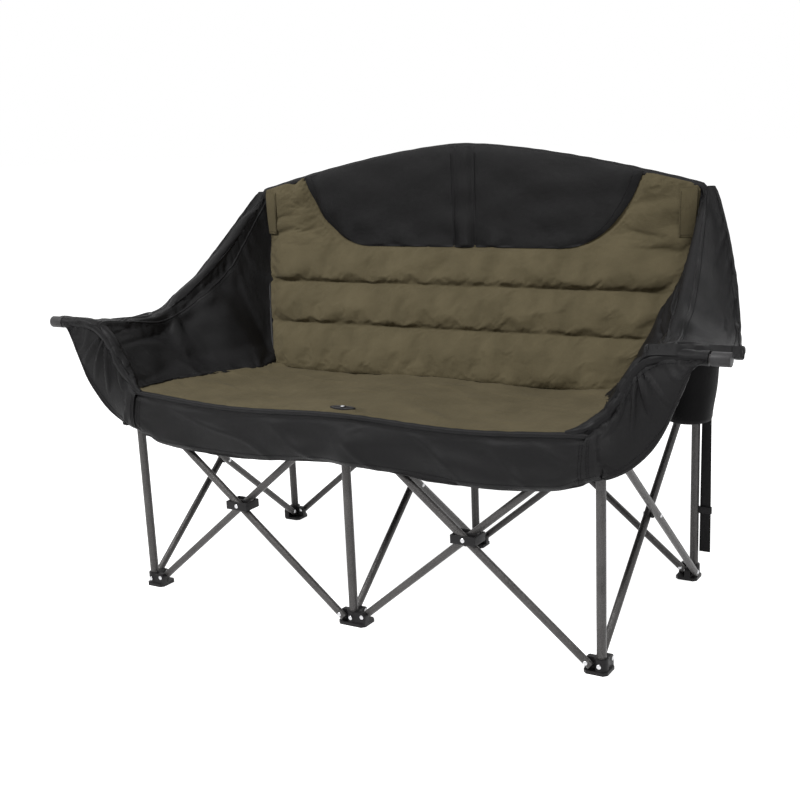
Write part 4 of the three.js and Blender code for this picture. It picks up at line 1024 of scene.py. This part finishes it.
for name, side in (("left", -1), ("right", 1)):
    y0 = armY[name]
    route = armRoute(side, y0, armFront["sleeveEnd"])
    above = np.argmax(route[:, 2] > armFront["sleeveFrom"])
    cut = (armFront["sleeveFrom"] - route[above - 1, 2]) / (route[above, 2] - route[above - 1, 2])
    route = np.concatenate([[lerp(route[above - 1], route[above], cut)], route[above:]])
    inner = apron["half"] - apron["overlap"]
    start = np.array([[side * inner, apron["y"], armFront["startZ"]]])
    u = np.linspace(0, 1, armFront["columns"])
    topLine = along(np.concatenate([start, route]), u)
    hemStart = (inner, apronLow(np.array(apron["half"])))
    pull = np.array([hemStart, armFront["hemLow"], armFront["hemHigh"], armFront["hemTip"]])
    c = u[:, None]
    low = (1 - c) ** 3 * pull[0] + 3 * c * (1 - c) ** 2 * pull[1] + 3 * c ** 2 * (1 - c) * pull[2] + c ** 3 * pull[3]
    v = np.linspace(0, 1, armFront["rows"])[:, None]
    uu = u[None] + 0 * v
    middle = np.sin(np.pi * uu) * np.sin(np.pi * v)
    x = lerp(side * low[:, 0], topLine[:, 0], v) + side * armFront["bow"] * middle
    z = lerp(low[:, 1], topLine[:, 2], v)
    hemY, sleeveY = apron["y"] - armFront["forward"][0], topLine[:, 1] - armFront["forward"][1]
    deep = lerp(hemY, sleeveY, v ** 3) - apronBelly(v) * ease(uu, 0.4, 0)
    (elbowX, elbowZ), (inX, downBy) = tubes["elbow"], armFront["fanFrom"]
    outX, downZ = np.abs(x) - elbowX + inX, elbowZ - downBy - z
    fan = np.stack([0.22 * np.arctan2(downZ, outX), 0.3 * np.hypot(outX, downZ)], axis=-1)  # folds from the elbow
    y = deep - armFront["fold"] * (ripple(fan, armFront["fanSize"], 41) + 0.7) * middle ** 0.6 * ease(uu, 0, 0.22)
    grid = np.stack([x, y, z], axis=-1)
    held = (v > 0.94) | (uu < 0.08) | (uu > 0.97)
    grid = settled(grid, held, spare=0.045, push=0.0, limit=0.012, weight=0.3, bending=0.4)
    grid[..., 1] = np.minimum(grid[..., 1], deep + 0.002)
    panelPiece = makeSheet(f"arm_front_{name}_cloth", grid, armFront["thick"], [blackCloth])
    carry(panelPiece, f"{name}_arm", "black_cloth", f"arm_front_{name}")
    armHem = piping(f"arm_front_{name}_hem", grid[0], (0, -1, 0), *armFront["hem"], blackBinding, 44)
    front = grid - np.array([0, armFront["thick"] / 2 + thread["proud"], 0])
    lines = [(front[at], (0, -1, 0)) for at in (4, -5)] + [(front[:, at], (0, -1, 0)) for at in (1, 2)]
    armSeams = stitches(f"arm_front_{name}_stitches", lines, blackThread)
    for piece in (armHem, armSeams):
        carry(piece, f"{name}_arm", "black_cloth")
    wide, tall = (float(runOf(grid[20])[-1]), float(runOf(grid[:, 30])[-1]))
    share = np.linspace(0, 1, armFront["stations"])
    rollY = lerp(apron["y"], y0, np.array(armFront["rollBack"]))
    roll = np.stack([side * np.array(armFront["rollX"][name]), rollY, armFront["rollZ"]], axis=-1)
    line = eased(np.concatenate([roll, route]), armFront["stations"], 14)
    ring = oval(1, 1, armFront["sides"])
    place = np.broadcast_arrays(share[:, None] * 0.4, ring[None, :, 0] * 0.02, ring[None, :, 1] * 0.02)
    slack = lerp(armFront["slack"], 1.0, ease(share, 0.7, 0.35))[:, None]
    crease = np.exp(-(ripple(np.stack(place, axis=-1), 0.055, 45) / 0.25) ** 2)
    uneven = armFront["wobble"] * ripple(np.stack(place, axis=-1), 0.035, 43) - armFront["crease"] * crease
    radius = np.interp(share, armFront["girthAt"], armFront["girth"])[:, None] * (1 + slack * uneven)
    girth = ring[None] * radius[..., None]
    sleeve = sweep(f"arm_sleeve_{name}", line, (0, 1, 0), girth, [blackCloth], 70)
    carry(sleeve, f"{name}_arm", "black_cloth")
print("front cloth made")

wing = {"thick": 0.005, "back": 0.263, "ridgeX": (0.633, 0.571), "ridgeZ": (0.612, 0.869), "ridgeFrom": 0.3,
        "hemX": (0.799, 0.592), "hemZ": (0.607, 0.869), "hemDip": 0.024, "shoulder": 0.022, "crease": 0.007,
        "start": -0.013, "pastCap": 0.018, "frontLift": {"left": 0.009, "right": 0.020}, "seamIn": 0.025,
        "seamOut": 0.030, "seamGap": 0.007, "pull": 8.0, "rows": 91, "columns": 101, "wave": 0.008, "waveSize": 0.14,
        "streak": 0.0030, "streakSize": 0.08, "creaseSize": 0.11, "outerCalm": 0.35, "innerRoll": (0.0034, 0.0044),
        "outerRoll": (0.0028, 0.0040), "hemRoll": (0.0032, 0.0040), "foldWay": (-0.125, 0.538, 0.265),
        "foldTo": (0.700, -0.273, 0.600), "seatIn": 0.010, "backIn": 0.008, "sink": 0.003, "levelFrom": 0.04,
        "turn": (-0.03, 0.02)}
cup = {"x": 0.676, "y": -0.150, "low": 0.470, "lowR": 0.042, "topR": 0.053, "round": 0.009, "wall": 0.003,
       "hole": 0.046, "ring": 0.0045, "ringWide": 0.0052, "sides": 48, "heel": 0.0025, "floor": 0.025, "bend": 0.07,
       "rows": 14, "uneven": 0.02, "underWing": 0.002, "ringLift": 0.001, "calm": (0.05, 0.08), "held": 0.062,
       "point": 0.0004}


def wingRoot(y):  # along the seat's side edge, then up the slanted side of the back
    half = seatHalf(y)
    level = seatTop(half, np.maximum(y, seat["front"] + wing["levelFrom"]))
    seatSide = np.stack([half - wing["seatIn"], y, level - wing["sink"]], axis=-1)
    z = rest["joinZ"] + (y - rest["joinY"]) * (rest["headZ"] - rest["joinZ"]) / (rest["headY"] - rest["joinY"])
    backSide = np.stack([backHalf(z) - wing["backIn"], y, z - wing["sink"]], axis=-1)
    before, after = wing["turn"]
    return lerp(seatSide, backSide, ease(y, rest["joinY"] + before, rest["joinY"] + after)[..., None])


def wingPoint(name, u, v):  # a weighted curve from the root, drawn towards the ridge, to the loose hem
    side = -1 if name == "left" else 1
    start = lerp(wing["start"], wing["pastCap"], ease(v, 0.90, 0.96))
    y = lerp(armY[name] + start, wing["back"], u)
    rise = np.maximum(0, (u - wing["ridgeFrom"]) / (1 - wing["ridgeFrom"])) ** 1.3
    ridge = np.stack([lerp(*wing["ridgeX"], u), y, lerp(*wing["ridgeZ"], rise)], axis=-1)
    draw = 0.72 * u + 0.28 * u ** 5
    climb = np.maximum(0, 2 * u - 1) ** 1.5
    dip = wing["hemDip"] * np.sin(np.pi * np.minimum(u / 0.75, 1)) ** 1.4
    hem = np.stack([lerp(*wing["hemX"], draw), y, lerp(*wing["hemZ"], climb) - dip], axis=-1)
    a, b, c = (1 - v) ** 2, 2 * wing["pull"] * v * (1 - v), v ** 2
    point = (a[..., None] * wingRoot(y) + b[..., None] * ridge + c[..., None] * hem) / (a + b + c)[..., None]
    point[..., 2] += wing["frontLift"][name] * ease(u, 0.17, 0.03) * ease(u, -0.012, 0.034) * ease(v, 0.25, 0.5)
    return point * np.array([side, 1, 1])


def wingLevel(name, x, y):  # height of the outer slope of the wing at points of the plan
    start = armY[name] + wing["start"]
    u = (y - start) / (wing["back"] - start)
    v = np.linspace(0.5, 1, 120)
    rows = wingPoint(name, u[:, None] + 0 * v, v + 0 * u[:, None])
    past = np.argmax(np.abs(rows[..., 0]) >= np.abs(x)[:, None], axis=1).clip(1)
    pick = np.arange(len(x))
    a, b = rows[pick, past - 1], rows[pick, past]
    share = (np.abs(x) - np.abs(a[:, 0])) / (np.abs(b[:, 0]) - np.abs(a[:, 0]))
    share = np.clip(share, 0, 1)
    return lerp(a[:, 2], b[:, 2], share)


def cellMeans(values):  # mean of the four corners of each cell
    return (values[1:, 1:] + values[:-1, 1:] + values[1:, :-1] + values[:-1, :-1]) / 4


def besideRidge(values, rowRun, run):  # values at a run from the ridge row, inwards below 0
    row = np.interp(run, rowRun - rowRun[wing["rows"] // 2], np.arange(wing["rows"]))
    below = np.minimum(row.astype(int), wing["rows"] - 2)
    column = np.arange(wing["columns"])
    return lerp(values[below, column], values[below + 1, column], (row - below)[:, None])


for name, side in (("left", -1), ("right", 1)):
    u = np.linspace(0, 1, wing["columns"])[None]
    v = np.linspace(0, 1, wing["rows"])[:, None]
    u, v = u + 0 * v, v + 0 * u
    share = np.where(v < 0.5, 0.5 * (2 * v) ** 2.2, 1 - 0.5 * (2 - 2 * v) ** 2.2)
    grid = wingPoint(name, u, share)
    fromCup = np.hypot(grid[..., 0] - side * cup["x"], grid[..., 1] - cup["y"])
    fromCup = np.where(v > 0.5, fromCup, 1.0)
    calm = np.sin(np.pi * u) ** 0.6 * np.abs(np.sin(2 * np.pi * v)) ** 0.5 * ease(fromCup, *cup["calm"])
    calm = calm * ease(1 - u, 0, 0.5) * np.where(v < 0.5, 1.0, wing["outerCalm"])
    broad = np.stack([u * 0.42 + v * 0.1, v * 0.26], axis=-1)
    slanted = np.stack([u * 0.5 + v * 0.35, v * 0.5 - u * 0.2], axis=-1)
    steep = np.stack([v * 0.42 - u * 0.12, u * 0.14], axis=-1)
    waves = wing["wave"] * ripple(broad, wing["waveSize"], 51 + side)
    waves = calm * (waves + wing["streak"] * ripple(slanted, wing["streakSize"], 53 + side))
    crease = np.exp(-(ripple(steep, wing["creaseSize"], 59 + side) / 0.25) ** 2)
    waves = waves + side * wing["crease"] * crease * calm * ease(v, 0.5, 0.46)
    shoulder = wing["shoulder"] * np.sin(np.pi * np.clip(2 * share - 1, 0, 1)) ** 0.8
    shoulder = shoulder * ease(u, 0.2, 0.45) * ease(u, 1.0, 0.85) * ease(fromCup, 0.06, 0.12)
    grid = grid + gridNormals(grid) * (waves - side * shoulder)[..., None]
    rim = (v < 0.02) | (v > 0.985) | (u < 0.012) | (u > 0.985)
    held = rim | (np.abs(v - 0.5) < 0.012) | (fromCup < cup["held"])
    grid = settled(grid, held, spare=0.030, push=0.0, limit=0.012, weight=0.5, bending=1.0)
    keep = cellMeans(fromCup) > cup["hole"]
    piece = makeSheet(f"wing_{name}_cloth", grid, wing["thick"], [blackCloth], keep)
    carry(piece, f"{name}_arm", "black_cloth", f"wing_{name}")
    normal = gridNormals(grid)
    ridgeRow, edgeRow = wing["rows"] // 2, wing["rows"] - 1
    rowRun = np.cumsum(np.linalg.norm(np.diff(grid, axis=0, prepend=grid[:1]), axis=2).mean(axis=1))
    inner, outer = -wing["seamIn"] * ease(u[0], 0.12, 0.5), wing["seamOut"] * ease(u[0], 0.02, 0.25)
    ridgeRolls = []
    for run, size, seed in ((inner, wing["innerRoll"], 55), (outer, wing["outerRoll"], 57)):
        line, facing = besideRidge(grid, rowRun, run), besideRidge(normal, rowRun, run)
        ridgeRolls.append(piping("roll", line, facing, *size, blackBinding, seed))
    ridgeRoll = joined(f"wing_{name}_ridge", ridgeRolls)
    hemRoll = piping(f"wing_{name}_hem", grid[edgeRow], normal[edgeRow], *wing["hemRoll"], blackBinding, 56)
    a = np.linspace(0, 2 * np.pi, 64)
    ringX, ringY = side * cup["x"] + cup["hole"] * np.cos(a), cup["y"] + cup["hole"] * np.sin(a)
    ringLine = np.stack([ringX, ringY, wingLevel(name, ringX, ringY) + cup["ringLift"]], axis=-1)
    ringShape = oval(cup["ringWide"], cup["ring"], 14)
    ringRoll = sweep(f"wing_{name}_ring", ringLine, (0, 0, 1), ringShape, [blackBinding], 60)
    lines = []
    hemSeam = rowRun[edgeRow - 7] - rowRun[ridgeRow] + 0 * inner
    for run in (inner - wing["seamGap"], outer + wing["seamGap"], hemSeam):
        line, facing = besideRidge(grid, rowRun, run), besideRidge(normal, rowRun, run)
        for way in (-1, 1):
            lines.append((line + facing * way * (wing["thick"] / 2 + thread["proud"]), facing * way))
    wingSeams = stitches(f"wing_{name}_stitches", lines, blackThread)
    for trim in (ridgeRoll, hemRoll, ringRoll, wingSeams):
        carry(trim, f"{name}_arm", "black_cloth")
    mirror = np.array([side, 1, 1])
    axis, middle = unit(mirror * wing["foldWay"]), mirror * wing["foldTo"]
    for trim in (piece, ridgeRoll, hemRoll, ringRoll, wingSeams):
        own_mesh(trim)

    # tapered cup holder bag: up the outside to the wing, over its rim and down the inside
    a = np.linspace(0, 2 * np.pi, cup["sides"], endpoint=False)[None]
    sole = cup["lowR"] - cup["round"]
    radius = np.array([cup["point"], sole, cup["lowR"] - cup["heel"], cup["lowR"]])
    wallUp = np.linspace(cup["lowR"], cup["topR"], cup["rows"])
    inner = np.array([cup["lowR"] - cup["wall"], sole, cup["point"]])
    radius = np.concatenate([radius, wallUp[1:], wallUp[::-1] - cup["wall"], inner])[:, None]
    wallRun, innerRun = np.linspace(cup["bend"], 1, cup["rows"]), np.linspace(1, cup["bend"], cup["rows"])
    footRun, floorRun = [0, 0, 0.02, cup["bend"]], [cup["bend"], cup["floor"], cup["floor"]]
    climb = np.concatenate([footRun, wallRun[1:], innerRun, floorRun])
    place = np.broadcast_arrays(climb[:, None] * 0.12, np.cos(a) * 0.05, np.sin(a) * 0.05)
    soft = 1 + cup["uneven"] * ripple(np.stack(place, axis=-1), 0.06, 58)
    x = side * cup["x"] + radius * soft * np.cos(a)
    y = cup["y"] + radius * soft * np.sin(a)
    rimX, rimY = side * cup["x"] + cup["topR"] * np.cos(a[0]), cup["y"] + cup["topR"] * np.sin(a[0])
    rim = wingLevel(name, rimX, rimY) - cup["underWing"]
    z = lerp(cup["low"], rim[None], climb[:, None])
    bagGrid = np.stack([x, y, z], axis=-1)
    faces = cappedCells(len(radius), cup["sides"])
    up = np.concatenate([[0], np.cumsum(np.linalg.norm(np.diff(bagGrid, axis=0), axis=2).mean(axis=1))])
    uv = np.stack(np.broadcast_arrays(a * cup["lowR"], up[:, None]), axis=-1)
    # the bag's cloth is darker than black_cloth as painted shade
    bag = makePiece(f"cup_holder_{name}_bag", bagGrid, faces, [bagClothPaintedShade], uv, None, 60)
    carry(bag, f"{name}_arm", "black_cloth", f"cup_holder_{name}")
print("wings made")

strap = {"x": 0.5788, "y": 0.279, "low": 0.062, "top": 0.444, "wide": 0.025, "thick": 0.002, "twist": 0.4,
         "sway": 0.0006, "swayTurns": 14, "stations": 40}
z = np.linspace(strap["top"], strap["low"], strap["stations"])
sway = strap["sway"] * np.sin((z - strap["top"]) * strap["swayTurns"])
drift = np.stack([0 * z + strap["x"], strap["y"] + sway, z], axis=-1)
twist = np.linspace(strap["twist"], 0, strap["stations"])
ribbon = oval(strap["wide"] / 2, strap["thick"] / 2, 20, 6)
facing = np.stack([np.sin(twist), np.cos(twist), 0 * twist], axis=-1)
strapPiece = sweep("strap_webbing", drift, facing, ribbon, [blackBinding], 40)
carry(strapPiece, "back_right_bracket", "black_cloth", "strap")
print("strap made")
